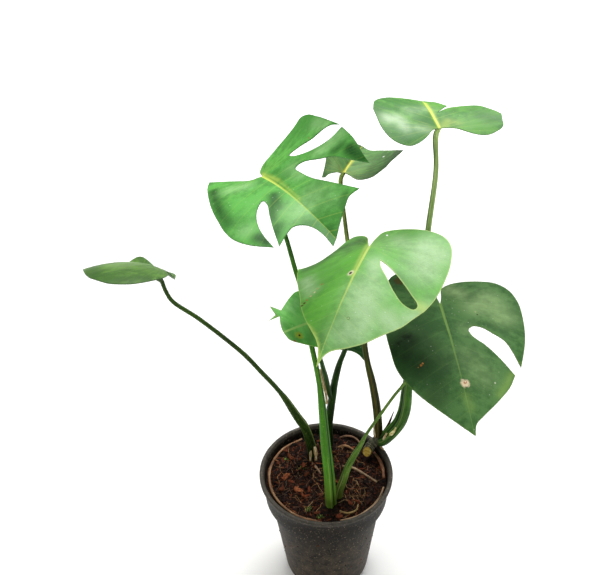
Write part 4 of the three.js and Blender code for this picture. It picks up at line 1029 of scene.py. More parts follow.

# Each leaf: where its stalk joins it, how it faces, droops, folds and curls in degrees, its tints, where the
# pale ones are wax bloom with a painted sheen and the dark ones painted shade, and its edge as runs from
# corner to corner, in millimetres along the midrib and to its left.
LEAVES = [
    dict(
        name="front", slot="light_leaf", veins=17, quilt=0.5, waves=1.2, length=142,
        joint=(42, -37, 503), heading=-116, rise=-11, roll=15, droop=11, back=11,
        fold=(-9, -16), curl=(-16, 4), twist=-12,
        tints=[
            ("pale", [(60, 16), (82, 22), (104, 18)], 20, 0.6),
            ("pale", [(80, 42), (90, 58), (76, 62), (58, 80)], 15, 0.6),
            ("pale", [(16, 59), (-10, 51), (-3, 63)], 17, 0.6),
            ("pale", [(-14, 26), (-9, 37)], 10, 0.45),
            ("pale", [(56, -41), (37, -58)], 9, 0.6),
            ("pale", [(21, 13), (44, 18)], 8, 0.5),
            ("fresh", [(6, -9), (35, -11), (59, -15), (82, -21), (92, -26)], 8, 0.6),
            ("fresh", [(17, 3), (12, 18)], 6, 0.8),
            ("fresh", [(17, -21), (24, -29), (32, -41)], 7, 0.6),
            ("dark", [(-14, -10), (-22, -25), (-19, -47), (2, -57), (10, -74)], 8, 0.7),
            ("dark", [(-19, -39), (-4, -25)], 6, 0.4),
            ("dark", [(112, -6), (124, -3)], 4, 0.5),
            ("dark", [(31, 38), (40, 47), (52, 53)], 4, 0.3),
            ("gold", [(-4, -4), (23, -3), (41, -2)], 2.4, 0.5),
            ("gold", [(100, -26), (108, -16), (121, -6), (134, -1)], 1.6, 0.8),
            ("gold", [(58, 63), (59, 68)], 5, 0.5),
        ],
        edge=[
            [
                (0, 0), (-9, -5), (-22, -12), (-35, -26), (-41, -41), (-34, -47), (-21, -50), (-8, -55),
                (1, -62), (5, -76), (4, -89),
            ],
            [
                (4, -89), (21, -79), (43, -65), (62, -52), (80, -41), (93, -31), (106, -19), (117, -9),
                (128, -3), (142, 0),
            ],
            [(142, 0), (130, 3), (124, 8), (119, 17), (109, 31), (96, 43), (83, 56), (72, 63), (61, 70)],
            [
                (61, 70), (47, 75), (26, 78), (1, 78), (-18, 73), (-29, 63), (-34, 44), (-32, 20), (-25, 6),
                (-14, 2), (0, 0),
            ],
        ],
        holes=[
            [
                (17, 17), (24, 28), (37, 43), (48, 54), (58, 63), (63, 61), (61, 51), (50, 39), (38, 30),
                (25, 20),
            ]
        ],
    ),
    dict(
        name="right", slot="dark_leaf", veins=18, quilt=0.6, waves=1.2, length=149,
        joint=(119, -20, 426), heading=-88, rise=-10, roll=1, droop=12, back=17,
        fold=(-2, 4), curl=(-5, -8), twist=0,
        tints=[
            ("pale", [(5, 38), (-3, 52), (20, 60)], 15, 0.7),
            ("pale", [(-14, 25), (-24, 15)], 10, 0.6),
            ("pale", [(37, 18)], 10, 0.25),
            ("pale", [(72, 12), (95, 22)], 14, 0.35),
            ("fresh", [(-4, 59), (26, 66)], 10, 0.5),
            ("dark", [(49, -42), (61, -55), (76, -35)], 18, 0.85),
            ("dark", [(27, -32), (77, -19), (112, -28)], 14, 0.45),
            ("gold", [(123, 2), (112, 0)], 5, 0.45),
            ("gold", [(92, 48), (102, 41), (112, 32)], 4, 0.7),
            ("fresh", [(81, 44), (97, 35)], 7, 0.6),
        ],
        edge=[
            [
                (0, 0), (-9, 3), (-24, 7), (-32, 17), (-36, 32), (-36, 52), (-33, 68), (-22, 78), (0, 82),
                (28, 79), (55, 72), (85, 59),
            ],
            [
                (85, 59), (67, 56), (53, 52), (43, 43), (35, 34), (33, 26), (38, 20), (46, 22), (58, 32),
                (74, 42), (93, 51),
            ],
            [(93, 51), (105, 43), (119, 28), (131, 13), (139, 4), (149, 1)],
            [
                (149, 1), (138, -12), (118, -34), (101, -48), (82, -58), (60, -61), (35, -62), (10, -59),
                (-14, -55), (-40, -48), (-53, -38), (-57, -24), (-46, -10), (-24, -4), (0, 0),
            ],
        ],
    ),
    dict(
        name="upper", slot="mid_leaf", veins=18, quilt=0.6, waves=1.2, length=141,
        joint=(-57, 5, 560), heading=-65, rise=8, roll=14, droop=19, back=-1,
        fold=(17, 6), curl=(14, -15), twist=2,
        tints=[
            ("pale", [(84, 11), (89, -8)], 15, 0.55),
            ("pale", [(89, 21), (100, 19)], 10, 0.3),
            ("pale", [(31, 21), (49, 20)], 9, 0.45),
            ("pale", [(5, 72), (23, 72)], 8, 0.55),
            ("pale", [(49, 69), (44, 49)], 9, 0.6),
            ("pale", [(3, -35), (10, -22)], 10, 0.5),
            ("pale", [(81, -54)], 9, 0.4),
            ("dark", [(75, 63), (94, 63)], 8, 0.95),
            ("dark", [(63, 62), (61, 55)], 6, 0.7),
            ("dark", [(132, -3), (125, 1)], 6, 0.6),
            ("dark", [(113, -3), (105, -10)], 5, 0.5),
            ("dark", [(104, -40), (94, -30)], 7, 0.7),
            ("dark", [(96, -49), (106, -46)], 7, 0.8),
            ("dark", [(-13, -47), (36, -59), (60, -61)], 7, 0.75),
            ("dark", [(73, -18), (51, -11), (84, -30)], 6, 0.7),
            ("dark", [(115, 23), (108, 30)], 5, 0.5),
            ("fresh", [(55, -48), (50, -35), (74, -41)], 12, 0.6),
            ("gold", [(-4, 2), (14, 3), (31, 4)], 2.2, 0.5),
            ("gold", [(31, 4), (76, 2)], 1.4, 0.35),
        ],
        edge=[
            [(0, 0), (-1, -12), (-13, -21), (-46, -40)],
            [
                (-46, -40), (-31, -47), (-2, -56), (28, -63), (48, -66), (69, -68), (84, -66), (100, -58),
                (114, -45),
            ],
            [
                (114, -45), (98, -45), (84, -43), (70, -38), (59, -31), (52, -23), (61, -23), (77, -29),
                (95, -35), (116, -41),
            ],
            [(116, -41), (108, -30), (103, -20), (107, -12), (114, -8), (125, -6), (141, -6)],
            [(141, -6), (136, 0), (125, 13), (117, 24), (112, 32), (113, 42)],
            [
                (113, 42), (99, 36), (84, 30), (66, 24), (50, 22), (35, 23), (36, 30), (51, 41), (65, 50),
                (81, 55), (102, 63),
            ],
            [(102, 63), (90, 66), (68, 73), (46, 77)],
            [
                (46, 77), (44, 64), (37, 51), (28, 40), (16, 32), (8, 32), (11, 44), (19, 56), (24, 67),
                (30, 74), (41, 78),
            ],
            [
                (41, 78), (24, 78), (2, 79), (-23, 79), (-33, 74), (-31, 62), (-28, 46), (-26, 31), (-22, 14),
                (-11, 3), (0, 0),
            ],
        ],
    ),
    dict(
        name="top", slot="mid_leaf", veins=15, quilt=0.5, waves=0.8, length=101,
        joint=(119, 50, 588), heading=102, rise=23, roll=-27, droop=48, back=38,
        fold=(36, -30), curl=(-7, 11), twist=0,
        tints=[
            ("pale", [(12, 51), (12, 41), (0, 38)], 8, 0.7),
            ("pale", [(-2, 26), (-3, 14)], 6, 0.5),
            ("pale", [(28, 23), (38, 4)], 10, 0.35),
            ("dark", [(27, 60), (16, 60)], 9, 0.6),
            ("dark", [(-3, 62), (-20, 40)], 6, 0.5),
            ("dark", [(11, 12)], 7, 0.4),
            ("dark", [(11, -58), (21, -50)], 12, 0.5),
            ("dark", [(35, -45)], 8, 0.4),
            ("dark", [(30, -24), (38, -28)], 4, 0.4),
            ("gold", [(3, -5), (11, -13)], 5, 0.35),
            ("gold", [(10, -16), (7, -22)], 5, 0.2),
            ("gold", [(0, 0), (30, -1), (60, -1)], 2, 0.8),
            ("fresh", [(7, -30), (-2, -43), (-8, -51)], 9, 0.6),
        ],
        edge=[
            [
                (0, 0), (-2, 7), (-6, 12), (-11, 17), (-16, 24), (-20, 32), (-22, 41), (-19, 50),
                (-14, 56), (-7, 60), (3, 62), (14, 62), (27, 62),
            ],
            [(27, 62), (44, 56), (58, 42), (71, 24), (85, 8), (101, -2)],
            [(101, -2), (85, -12), (68, -16), (52, -23)],
            [(52, -23), (38, -14), (27, -6)],
            [(27, -6), (36, -15), (45, -25), (51, -40), (49, -55), (36, -63), (25, -69), (17, -72)],
            [
                (17, -72), (3, -69), (-8, -66), (-14, -57), (-17, -48), (-16, -40), (-12, -32), (-7, -25),
                (-2, -18), (0, -9), (0, 0),
            ],
        ],
    ),
    dict(
        name="back", slot="grey_leaf", veins=14, quilt=0.4, waves=0.8, length=90,
        joint=(28, 100, 527), heading=71, rise=5, roll=6, droop=8, back=6,
        fold=(47, 7), curl=(-18, 64), twist=0,
        tints=[
            ("pale", [(-22, 14), (-7, 14)], 8, 0.4),
            ("pale", [(10, -12), (18, -20)], 9, 0.5),
            ("dark", [(18, -59), (-23, -44)], 8, 0.5),
            ("gold", [(33, -2), (-6, 1)], 1.8, 0.5),
        ],
        edge=[
            [(0, 0), (-5, 1), (-11, 6), (-21, 11), (-29, 14), (-40, 16), (-44, 19)],
            [(-44, 19), (-31, 21), (-18, 24), (-8, 27), (12, 32), (32, 30), (52, 22), (70, 12), (90, 0)],
            [(90, 0), (70, -14), (62, -27), (48, -41), (33, -54), (20, -63), (8, -71)],
            [
                (8, -71), (1, -57), (-9, -52), (-14, -46), (-21, -38), (-22, -30), (-21, -23), (-16, -16),
                (-7, -8), (0, 0),
            ],
        ],
    ),
    dict(
        name="left", slot="mid_leaf", veins=14, quilt=0.4, waves=0.8, length=93,
        joint=(-163, -10, 472), heading=152, rise=8, roll=27, droop=46, back=37,
        fold=(0, -12), curl=(-36, -1), twist=0,
        lifts=[(55, -38, 15, 15), (-4, -28, -6, 18)],
        tints=[
            ("pale", [(28, 30), (32, 1)], 12, 0.35),
            ("fresh", [(8, 25), (-5, 26)], 8, 0.5),
            ("dark", [(86, 6), (30, 64)], 7, 0.5),
            ("dark", [(0, 62), (-14, 40)], 6, 0.5),
            ("dark", [(1, 0), (6, -33)], 5, 0.7),
        ],
        edge=[
            [
                (0, 0), (-6, 3), (-12, 7), (-17, 13), (-20, 29), (-16, 48), (-11, 58), (-4, 65), (5, 70),
                (17, 71), (33, 68), (45, 61), (58, 49), (70, 35), (82, 18), (93, 0),
            ],
            [
                (93, 0), (82, -15), (70, -28), (56, -39), (38, -46), (22, -49), (12, -46), (3, -36),
                (-4, -24), (-6, -12), (-3, -4), (0, 0),
            ],
        ],
    ),
    dict(
        name="low", slot="mid_leaf", veins=9, quilt=0.3, waves=0.6, length=54,
        joint=(-7, -40, 424), heading=229, rise=18, roll=-31, droop=32, back=26,
        fold=(1, 0), curl=(-9, 13), twist=0,
        tints=[
            ("pale", [(26, -21), (13, -26)], 7, 0.4),
            ("dark", [(43, -6), (41, 16)], 6, 0.5),
            ("dark", [(29, 18), (16, 9)], 6, 0.5),
            ("fresh", [(23, -6)], 8, 0.5),
        ],
        edge=[
            [
                (0, 0), (-8, 4), (-14, 12), (-15, 22), (-10, 31), (0, 35), (12, 34), (25, 27), (38, 18),
                (48, 9), (49, 2), (48, -5), (45, -12), (42, -17),
            ],
            [(42, -17), (55, -17)],
            [(55, -17), (45, -20)],
            [(45, -20), (45, -30)],
            [(45, -30), (37, -22)],
            [(37, -22), (26, -28), (16, -33), (4, -37), (-8, -35), (-15, -26), (-16, -15), (-9, -4), (0, 0)],
        ],
    ),
    dict(
        name="hidden", slot="dark_leaf", veins=8, quilt=0.3, waves=0.3, length=54,
        joint=(55.3, 64, 290), heading=90, rise=50, roll=0, droop=12, back=6,
        fold=(0, 0), curl=(8, 8), twist=0,
        edge=[
            [(0, 0), (1, 3), (8, 9), (13, 18), (15, 31), (20, 38), (29, 38), (39, 30), (48, 16), (54, 0)],
            [(54, 0), (48, -8), (40, -11), (33, -7), (24, -2.5), (12, -3), (4, -2.5), (0, 0)],
        ],
    ),
]
for leaf in LEAVES:
    make_blade(leaf)


# ------------------------------------------------------------------------------------------------ stalks
# Each leaf hangs from a juicy round stalk, grooved along its inner side. Its foot is a sheath: two thin wings
# that stand up beside the groove and end in a small step. It was grown in one piece, with a swelling under
# the blade.
STALK_SUNK = 24
STALK_NECK = 9
STALK_SEAT = 0.1
STALK_SIDES = 28
# Each stalk: its radius at the foot, just over its sheath and at the top, the shares of its length that the
# sheath and the sheath's free wings take, and its route.
STALKS = dict(
    left=dict(
        foot=6.3, waist=3, top=2.1, sheath=0.38, wing=0.36,
        route=[(-17, 38, 166), (-19, 38, 180), (-25, 35, 209), (-32, 32, 226), (-40, 30, 245), (-48, 27, 265),
               (-59, 24, 287), (-74, 20, 313), (-90.5, 16, 341), (-108, 11, 366), (-136.5, 3, 403),
               (-159, -4, 429.5), (-164, -5, 443), (-166, -7, 456)],
    ),
    upper=dict(
        foot=6.3, waist=2.9, top=2, sheath=0.47, wing=0.235,
        route=[(3.5, -46, 162), (3, -47, 176), (2, -46, 205), (0, -45, 235), (-2, -45, 264), (-4, -44, 301),
               (-6.5, -43, 336), (-10.3, -41, 366), (-15.7, -32, 396), (-20, -14, 430), (-29, 6, 457),
               (-38, 8, 497), (-47, 7, 528)],
    ),
    front=dict(
        foot=5.3, waist=3.1, top=2.4, sheath=0.44, wing=0.4,
        route=[(7, 57, 163), (7, 57, 192), (9, 57, 215), (12, 57, 241), (14, 56, 260), (17, 54, 279),
               (21, 52, 299), (26, 47, 319), (33, 36, 358), (38, 15, 412), (42, -14, 462)],
    ),
    right=dict(
        foot=4.6, waist=1.8, top=1.4, sheath=0.4, wing=0.2,
        route=[(15, -34, 160), (16, -34.5, 172), (20, -34, 187), (25, -33, 207), (32, -32, 224),
               (39, -31, 239), (46, -30, 256), (63, -29, 288), (77, -27, 312), (85, -26, 324),
               (102, -24, 360), (113, -21, 392)],
    ),
    top=dict(
        foot=7.8, waist=4.6, top=2.3, sheath=0.3, wing=0.26,
        route=[(70.5, 35.8, 180), (76.5, 36, 181.5), (84.6, 36, 190), (92.5, 38, 199), (98.2, 39, 208.5),
               (102.2, 40, 221.5), (104.2, 41, 236), (105, 43, 256), (106.4, 45, 278), (109, 48, 320),
               (113, 48, 389), (116, 49, 479), (119, 50, 545)],
    ),
    back=dict(
        foot=5, waist=3.6, top=2, sheath=0.34, wing=0.3,
        route=[(71, 38, 180), (70.3, 43, 202), (67.5, 47, 231), (62.2, 51, 264), (56, 53, 293), (51, 57, 322),
               (43.5, 68, 375), (34.3, 81, 429), (28, 92, 479)],
    ),
    low=dict(
        foot=3.2, waist=2.3, top=2, sheath=0.5, wing=0.45,
        route=[(11, 57, 232), (7, 50, 254), (3, 38, 286), (-1.8, 21, 319), (-5, 4, 351), (0, -20, 388)],
    ),
    hidden=dict(
        foot=2.4, waist=2, top=1.6, sheath=0.5, wing=0.3,
        route=[(62, 51, 262), (61.5, 60, 266), (58.5, 68.5, 276)],
    ),
)


def ease(value, low, high):
    """Nought below low and one above high, with a soft change between."""
    share = min(1, max(0, (value - low) / (high - low)))
    return share * share * (3 - 2 * share)


def stalk_seat(name):
    """Where the stalk meets the underside of its blade: the way out of the blade, and points below it."""
    leaf = next(leaf for leaf in LEAVES if leaf["name"] == name)
    left, right = leaf["fold"]
    level = {**leaf, "roll": leaf["roll"] + (left - right) / 2, "fold": (0, 0), "curl": (0, 0), "lifts": []}
    depth = BLADE_THICKNESS / 2 + STALK_SEAT + STALKS[name]["top"] * 1.3 * math.tan(
        math.radians(max(0, -(left + right) / 2))
    )
    return blade_axes(level)[2], lambda distance: blade_point(level, 1.5, 0, -depth - distance)


def stalk_rod(name, sunk):
    """A stalk from its foot to its seat under the blade; a sunk one goes on down into the mix."""
    stalk = STALKS[name]
    up, below = stalk_seat(name)
    joint = next(leaf for leaf in LEAVES if leaf["name"] == name)["joint"]
    first, second = np.array(stalk["route"][0], dtype=float), np.array(stalk["route"][1], dtype=float)
    start = [first - (second - first) * STALK_SUNK / (second[2] - first[2])] if sunk else []
    route = [*start, *stalk["route"], below(STALK_NECK), below(0)]
    inner = np.array([first[0] - joint[0], first[1] - joint[1], 40])
    foot, waist, top, sheath, wing_end = (stalk[key] for key in ("foot", "waist", "top", "sheath", "wing"))

    def radius_at(u):
        swell = ease(u, 0.93, 0.97) - 0.6 * ease(u, 0.985, 1)
        uneven = 1 + 0.02 * noise.noise(Vector((u * 9, foot, top)))
        bare = waist + (top - waist) * (u - sheath) / (1 - sheath)
        return (
            foot - (foot - waist) * (u / sheath) ** 3 if u < sheath else bare
        ) * uneven + 0.25 * top * swell

    def shape_at(angle, u):
        off = np.abs(np.arctan2(np.sin(angle), np.cos(angle)))
        winged = 1 - ease(u, wing_end - 0.012, wing_end + 0.006)
        fade = 0.45 + 0.55 * ease(wing_end - u, 0, wing_end)
        groove = (0.16 + 0.12 * winged) * np.exp(-((off / 0.34) ** 2)) * (1 - ease(u, 0.9, 0.97))
        wing = 0.2 * winged * fade * np.exp(-(((off - 0.72) / 0.17) ** 2))
        ridges = 0.012 * np.cos(9 * angle)
        return 1 - groove + wing + ridges

    points, faces, numbers = rod(
        route, radius_at, STALK_SIDES, step=3.2, inner=inner, shape_at=shape_at, end_square=up,
    )
    length = max(numbers["along"])
    numbers["share"] = [value / length for value in numbers["along"]]
    return points, faces, numbers


def stalk_skin(
    name, foot, middle, neck, groove, wing, streak, gloss=0.42, wing_end=0.25, blotch=0.5, neck_from=0.6,
):
    """Living stalk: green that changes from foot to neck, with lengthwise streaks, darker blotches, painted
    shade in its groove and pale wing edges."""
    material, tree = new_material(name)
    share = add(tree, "Attribute", attribute_name="share")
    along = add(tree, "Attribute", attribute_name="along")
    out_x = add(tree, "Attribute", attribute_name="out_x")
    out_y = add(tree, "Attribute", attribute_name="out_y")
    turn = add(tree, "Attribute", attribute_name="turn")
    drawn = add(tree, "Math", {0: (along, "Fac"), 1: 0.035}, operation="MULTIPLY")
    place = add(tree, "CombineXYZ", {"X": (out_x, "Fac"), "Y": (out_y, "Fac"), "Z": (drawn, 0)})
    lines = add(tree, "TexNoise", {"Vector": (place, 0), "Scale": 1.1, "Detail": 5, "Roughness": 0.6})
    solid = add(tree, "TexCoord")
    flecks = add(tree, "TexNoise", {"Vector": (solid, "Object"), "Scale": 620, "Detail": 3})
    slow = add(tree, "TexNoise", {"Vector": (solid, "Object"), "Scale": 45, "Detail": 3})
    green = add(
        tree,
        "ValToRGB",
        {0: (share, "Fac")},
        stops=[
            (0.05, linear(foot)), (0.2, linear(middle)), (neck_from, linear(middle)), (0.97, linear(neck)),
        ],
    )
    lined = add(
        tree, "MapRange", {"Value": (lines, "Fac"), "From Min": 0.42, "From Max": 0.66, "To Max": 0.75},
    )
    streaked = add(
        tree, "Mix", {"Factor": (lined, 0), "A": (green, 0), "B": linear(streak)}, data_type="RGBA",
    )
    dim = add(tree, "MapRange", {"Value": (slow, "Fac"), "From Min": 0.4, "From Max": 0.65, "To Max": blotch})
    dimmed = add(
        tree, "Mix", {"Factor": (dim, 0), "A": (streaked, "Result"), "B": linear(groove)}, data_type="RGBA",
    )
    fleck = add(
        tree, "MapRange", {"Value": (flecks, "Fac"), "From Min": 0.6, "From Max": 0.68, "To Max": 0.35},
    )
    flecked = add(
        tree, "Mix", {"Factor": (fleck, 0), "A": (dimmed, "Result"), "B": linear(wing)}, data_type="RGBA",
    )
    # Painted shade: the groove is darkened towards the groove colour.
    groove_painted_shade = add(
        tree, "MapRange", {"Value": (turn, "Fac"), "From Min": 0.34, "From Max": 0.12, "To Max": 0.9},
    )
    grooved = add(
        tree, "Mix", {"Factor": (groove_painted_shade, 0), "A": (flecked, "Result"), "B": linear(groove)},
        data_type="RGBA",
    )
    off_edge = add(tree, "Math", {0: (turn, "Fac"), 1: 0.78, 2: 0.1}, operation="COMPARE")
    winged = add(
        tree, "MapRange",
        {"Value": (share, "Fac"), "From Min": wing_end + 0.01, "From Max": wing_end - 0.02, "To Max": 0.55},
    )
    on_wing = add(tree, "Math", {0: (off_edge, 0), 1: (winged, 0)}, operation="MULTIPLY")
    edged = add(
        tree, "Mix", {"Factor": (on_wing, 0), "A": (grooved, "Result"), "B": linear(wing)}, data_type="RGBA",
    )
    rough = add(tree, "MapRange", {"Value": (lines, "Fac"), "To Min": gloss, "To Max": gloss + 0.2})
    relief = add(tree, "Bump", {"Height": (lines, "Fac"), "Strength": 0.35, "Distance": 0.0005})
    shader = add(
        tree,
        "BsdfPrincipled",
        {
            "Base Color": (edged, "Result"),
            "Roughness": (rough, 0),
            "Normal": (relief, 0),
            "IOR": 1.42,
            "Specular IOR Level": 0.14,
            "Subsurface Weight": 0.08,
            "Subsurface Radius": (0.002, 0.003, 0.0008),
            "Subsurface Scale": 1.0,
        },
    )
    add(tree, "OutputMaterial", {"Surface": (shader, 0)})
    return material


# Each stalk's slot and its colours: foot, middle, neck, groove, wing and streak. The groove colour is painted
# shade in the groove, and also tints the darker blotches.
STALK_SKINS = {
    "upper": (
        "green_stalk",
        stalk_skin(
            "bright_stalk_skin", "#6f8a34", "#3f7c1a", "#2c5c1c", "#13300a", "#8cb04c", "#5c9c28",
            wing_end=0.235, blotch=0.2,
        ),
    ),
    "right": (
        "green_stalk",
        stalk_skin(
            "yellow_green_stalk_skin", "#7c8634", "#4c7424", "#1f3a16", "#2c480f", "#d2c88e", "#86a848",
            wing_end=0.2, blotch=0.3,
        ),
    ),
    "left": (
        "dark_stalk",
        stalk_skin(
            "dark_stalk_skin", "#10160a", "#26400f", "#34541c", "#0b1207", "#8a9c50", "#486a1e",
            wing_end=0.36, blotch=0.35,
        ),
    ),
    "front": (
        "dark_stalk",
        stalk_skin(
            "deep_green_stalk_skin", "#0f1608", "#1c3a0e", "#2a4c18", "#0a1206", "#5c6c34", "#2c541a",
            wing_end=0.4,
        ),
    ),
    "low": (
        "dark_stalk",
        stalk_skin(
            "young_stalk_skin", "#18300e", "#1f3f10", "#345a1f", "#0f2008", "#5c5a2c", "#3a6420",
            wing_end=0.45, blotch=0.3,
        ),
    ),
    "top": (
        "brown_stalk",
        stalk_skin(
            "thick_stalk_skin", "#1c3a12", "#356a1c", "#d2ec96", "#12240b", "#7c9450", "#5a8c34",
            wing_end=0.26, blotch=0.2, neck_from=0.45,
        ),
    ),
    "back": (
        "brown_stalk",
        stalk_skin(
            "brown_green_stalk_skin", "#332a14", "#3f4417", "#a4c45c", "#1f170b", "#7c5a30", "#5a6a26",
            wing_end=0.3, neck_from=0.38,
        ),
    ),
    "hidden": (
        "brown_stalk",
        stalk_skin(
            "short_stalk_skin", "#202e12", "#243a16", "#243a16", "#10180a", "#4a5a2a", "#345020",
            wing_end=0.3,
        ),
    ),
}
# The node of the frame that each stalk replaces: four rise from the mix, and the others from another stalk's
# sheath or from the creeping stem.
STANDS_IN = {
    "upper": "stalk_upper",
    "right": "stalk_right",
    "left": "stalk_left",
    "front": "stalks_front_low",
    "low": "stalks_front_low",
    "top": "creeping_stem",
    "back": "creeping_stem",
    "hidden": "creeping_stem",
}
FROM_THE_MIX = ("left", "upper", "front", "right")
for name, (slot, skin) in STALK_SKINS.items():
    points, faces, numbers = stalk_rod(name, sunk=name in FROM_THE_MIX)
    stalk = new_piece(f"stalk_{name}_skin", points, faces, skin, numbers)
    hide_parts(STANDS_IN[name])

# Dry sheath scraps: papery tan strips that cling to the feet of the stalks, and a long one that hangs along
# the stalk of the low leaf. They are dull, pale and streaked lengthwise.
paper, tree = new_material("dry_sheath")
place = add(tree, "TexCoord")
stretched = add(tree, "Mapping", {"Vector": (place, "Object"), "Scale": (500, 500, 60)})
veins = add(tree, "TexNoise", {"Vector": (stretched, 0), "Scale": 1, "Detail": 4})
tone = add(
    tree,
    "ValToRGB",
    {0: (veins, "Fac")},
    stops=[(0.3, linear("#7c5a34")), (0.5, linear("#cdb07c")), (0.7, linear("#efe2c0"))],
)
relief = add(tree, "Bump", {"Height": (veins, "Fac"), "Strength": 0.5, "Distance": 0.0004})
shader = add(tree, "BsdfPrincipled", {"Base Color": (tone, 0), "Roughness": 0.75, "Normal": (relief, 0)})
add(tree, "OutputMaterial", {"Surface": (shader, 0)})
# Each scrap: the points along its middle, its width and its thickness.
LONG_SCRAP = [
    (-4.2, 34, 303), (-2.4, 38.5, 291), (-0.2, 43, 277), (1.9, 46, 262), (3.4, 49, 247), (4.3, 51.5, 233),
]
SCRAPS = [
    (LONG_SCRAP, 4.2, 1.6),
    ([(-13, 33, 176), (-12, 28, 169), (-12, 23, 161)], 4.2, 1.0),
    ([(-18, 31, 171), (-19, 27, 165), (-19.5, 23, 160)], 3.0, 1.0),
    ([(66, 36, 186), (65.5, 39, 193), (65, 42, 200)], 3.0, 0.9),
    ([(76, 29.5, 187), (77.5, 29, 193), (80, 30, 199)], 3, 0.9),
    ([(72, 30, 177), (75, 28, 174), (77, 27, 172)], 2.2, 0.9),
]
scraps = []
for route, width, thick in SCRAPS:
    points, faces, _ = rod(
        route,
        lambda u: width / 2 * (0.35 + 0.9 * math.sin(math.pi * min(0.85, u + 0.12))),
        sides=10,
        step=1.5,
        inner=(0.3, -1, 0.2),
        shape_at=lambda a, u: np.hypot(np.cos(a) * thick / width, np.sin(a)),
    )
    scraps.append((points, faces, {}))
scrap_points, scrap_faces, _ = joined(scraps)
new_piece("dry_sheath_scraps", scrap_points, scrap_faces, paper)

# Where an old sheath was torn from the thickest stalk a pale yellow scar of dry tissue is left.
scar_skin, tree = new_material("pale_scar_tissue")
place = add(tree, "TexCoord")
patch = add(tree, "TexNoise", {"Vector": (place, "Object"), "Scale": 420, "Detail": 4})
tone = add(
    tree,
    "ValToRGB",
    {0: (patch, "Fac")},
    stops=[(0.36, linear("#a8863c")), (0.5, linear("#e6d88a")), (0.7, linear("#f6f0c4"))],
)
shader = add(tree, "BsdfPrincipled", {"Base Color": (tone, 0), "Roughness": 0.6})
add(tree, "OutputMaterial", {"Surface": (shader, 0)})
SCAR_ROUTE = [(82, 30.5, 192), (85.5, 30.3, 196), (89, 30.6, 201), (92, 31.5, 207)]
scar_points, scar_faces, scar_numbers = rod(
    SCAR_ROUTE,
    lambda u: 2.6 * math.sin(math.pi * min(0.9, u + 0.12)) ** 0.7,
    sides=14,
    step=1.2,
    inner=(0.3, -1, 0.2),
    shape_at=lambda a, u: np.hypot(np.cos(a) * 0.42, np.sin(a)),
)
new_piece("stalk_scar", scar_points, scar_faces, scar_skin, scar_numbers)


# ---------------------------------------------------------------------------------------- creeping stem
# The short creeping stem that lies half out of the mix: ringed where old leaves fell, grey-brown, with a
# yellow cut end at the front. An anchor root runs down from it, and a withered sheath stands beside its
# thickest stalk.
STEM_RADIUS = 6.5
STEM_SIDES = 32
STEM_ROUTE = [(55, 25.5, 171.5), (59.5, 32, 174), (65, 35.5, 178), (72, 36.5, 182)]
STEM_CUT = (0.4, 0.85, -0.35)
STEM_CUT_REACH = 13
ANCHOR_ROUTE = [(61, 34, 174), (59.5, 34, 158), (54, 32, 134)]
SPIKE_ROUTE = [(75, 40, 184), (84, 46, 197), (90.5, 46, 221)]

# Scurfy grey-brown skin, darker in the rings; the cut face shows dry yellow pith.
stem_skin, tree = new_material("ringed_stem_skin")
place = add(tree, "TexCoord")
along = add(tree, "Attribute", attribute_name="along")
cut = add(tree, "Attribute", attribute_name="cut")
scurf = add(tree, "TexNoise", {"Vector": (place, "Object"), "Scale": 260, "Detail": 7, "Roughness": 0.7})
ringed = add(tree, "Math", {0: (along, "Fac"), 1: 0.9}, operation="MULTIPLY")
rings = add(tree, "Math", {0: (ringed, 0)}, operation="SINE")
mixed = add(tree, "Math", {0: (rings, 0), 1: 0.08, 2: (scurf, "Fac")}, operation="MULTIPLY_ADD")
tone = add(
    tree,
    "ValToRGB",
    {0: (mixed, 0)},
    stops=[
        (0.36, linear("#1c1a10")), (0.5, linear("#3c3c26")), (0.6, linear("#5c5a3a")),
        (0.72, linear("#8a7650")),
    ],
)
pith = add(
    tree,
    "ValToRGB",
    {0: (scurf, "Fac")},
    stops=[(0.34, linear("#a5741f")), (0.52, linear("#dcb544")), (0.7, linear("#f0d884"))],
)
tinted = add(tree, "Mix", {"Factor": (cut, "Fac"), "A": (tone, 0), "B": (pith, 0)}, data_type="RGBA")
relief = add(tree, "Bump", {"Height": (scurf, "Fac"), "Strength": 0.6, "Distance": 0.0006})
shader = add(
    tree, "BsdfPrincipled", {"Base Color": (tinted, "Result"), "Roughness": 0.62, "Normal": (relief, 0)},
)
add(tree, "OutputMaterial", {"Surface": (shader, 0)})

points, faces, numbers = rod(
    STEM_ROUTE,
    lambda u: STEM_RADIUS * (1 + 0.05 * math.sin(u * 24) - 0.12 * (1 - ease(u, 0, 0.05))),
    STEM_SIDES,
    step=0.9,
    inner=(-1, 0, 1),
    shape_at=lambda a, u: 1 + 0.025 * np.sin(4 * a + 3 * u) + 0.015 * np.sin(9 * a),
)
# A knife cut the stem slantwise: the first rings slide along it until their ends lie in the plane of the cut.
# The rod's last two points are the hubs of its ends, the cut end's first.
hub = len(points) - 2
axis = points[STEM_SIDES : 2 * STEM_SIDES].mean(axis=0) - points[:STEM_SIDES].mean(axis=0)
axis /= np.linalg.norm(axis)
slant = np.array(STEM_CUT) / np.linalg.norm(STEM_CUT)
out = points - points[hub]
out -= np.outer(out @ axis, axis)
near = np.clip(1 - np.array(numbers["along"]) / STEM_CUT_REACH, 0, 1) ** 1.5
points = points - np.outer((out @ slant) / (axis @ slant) * near, axis)
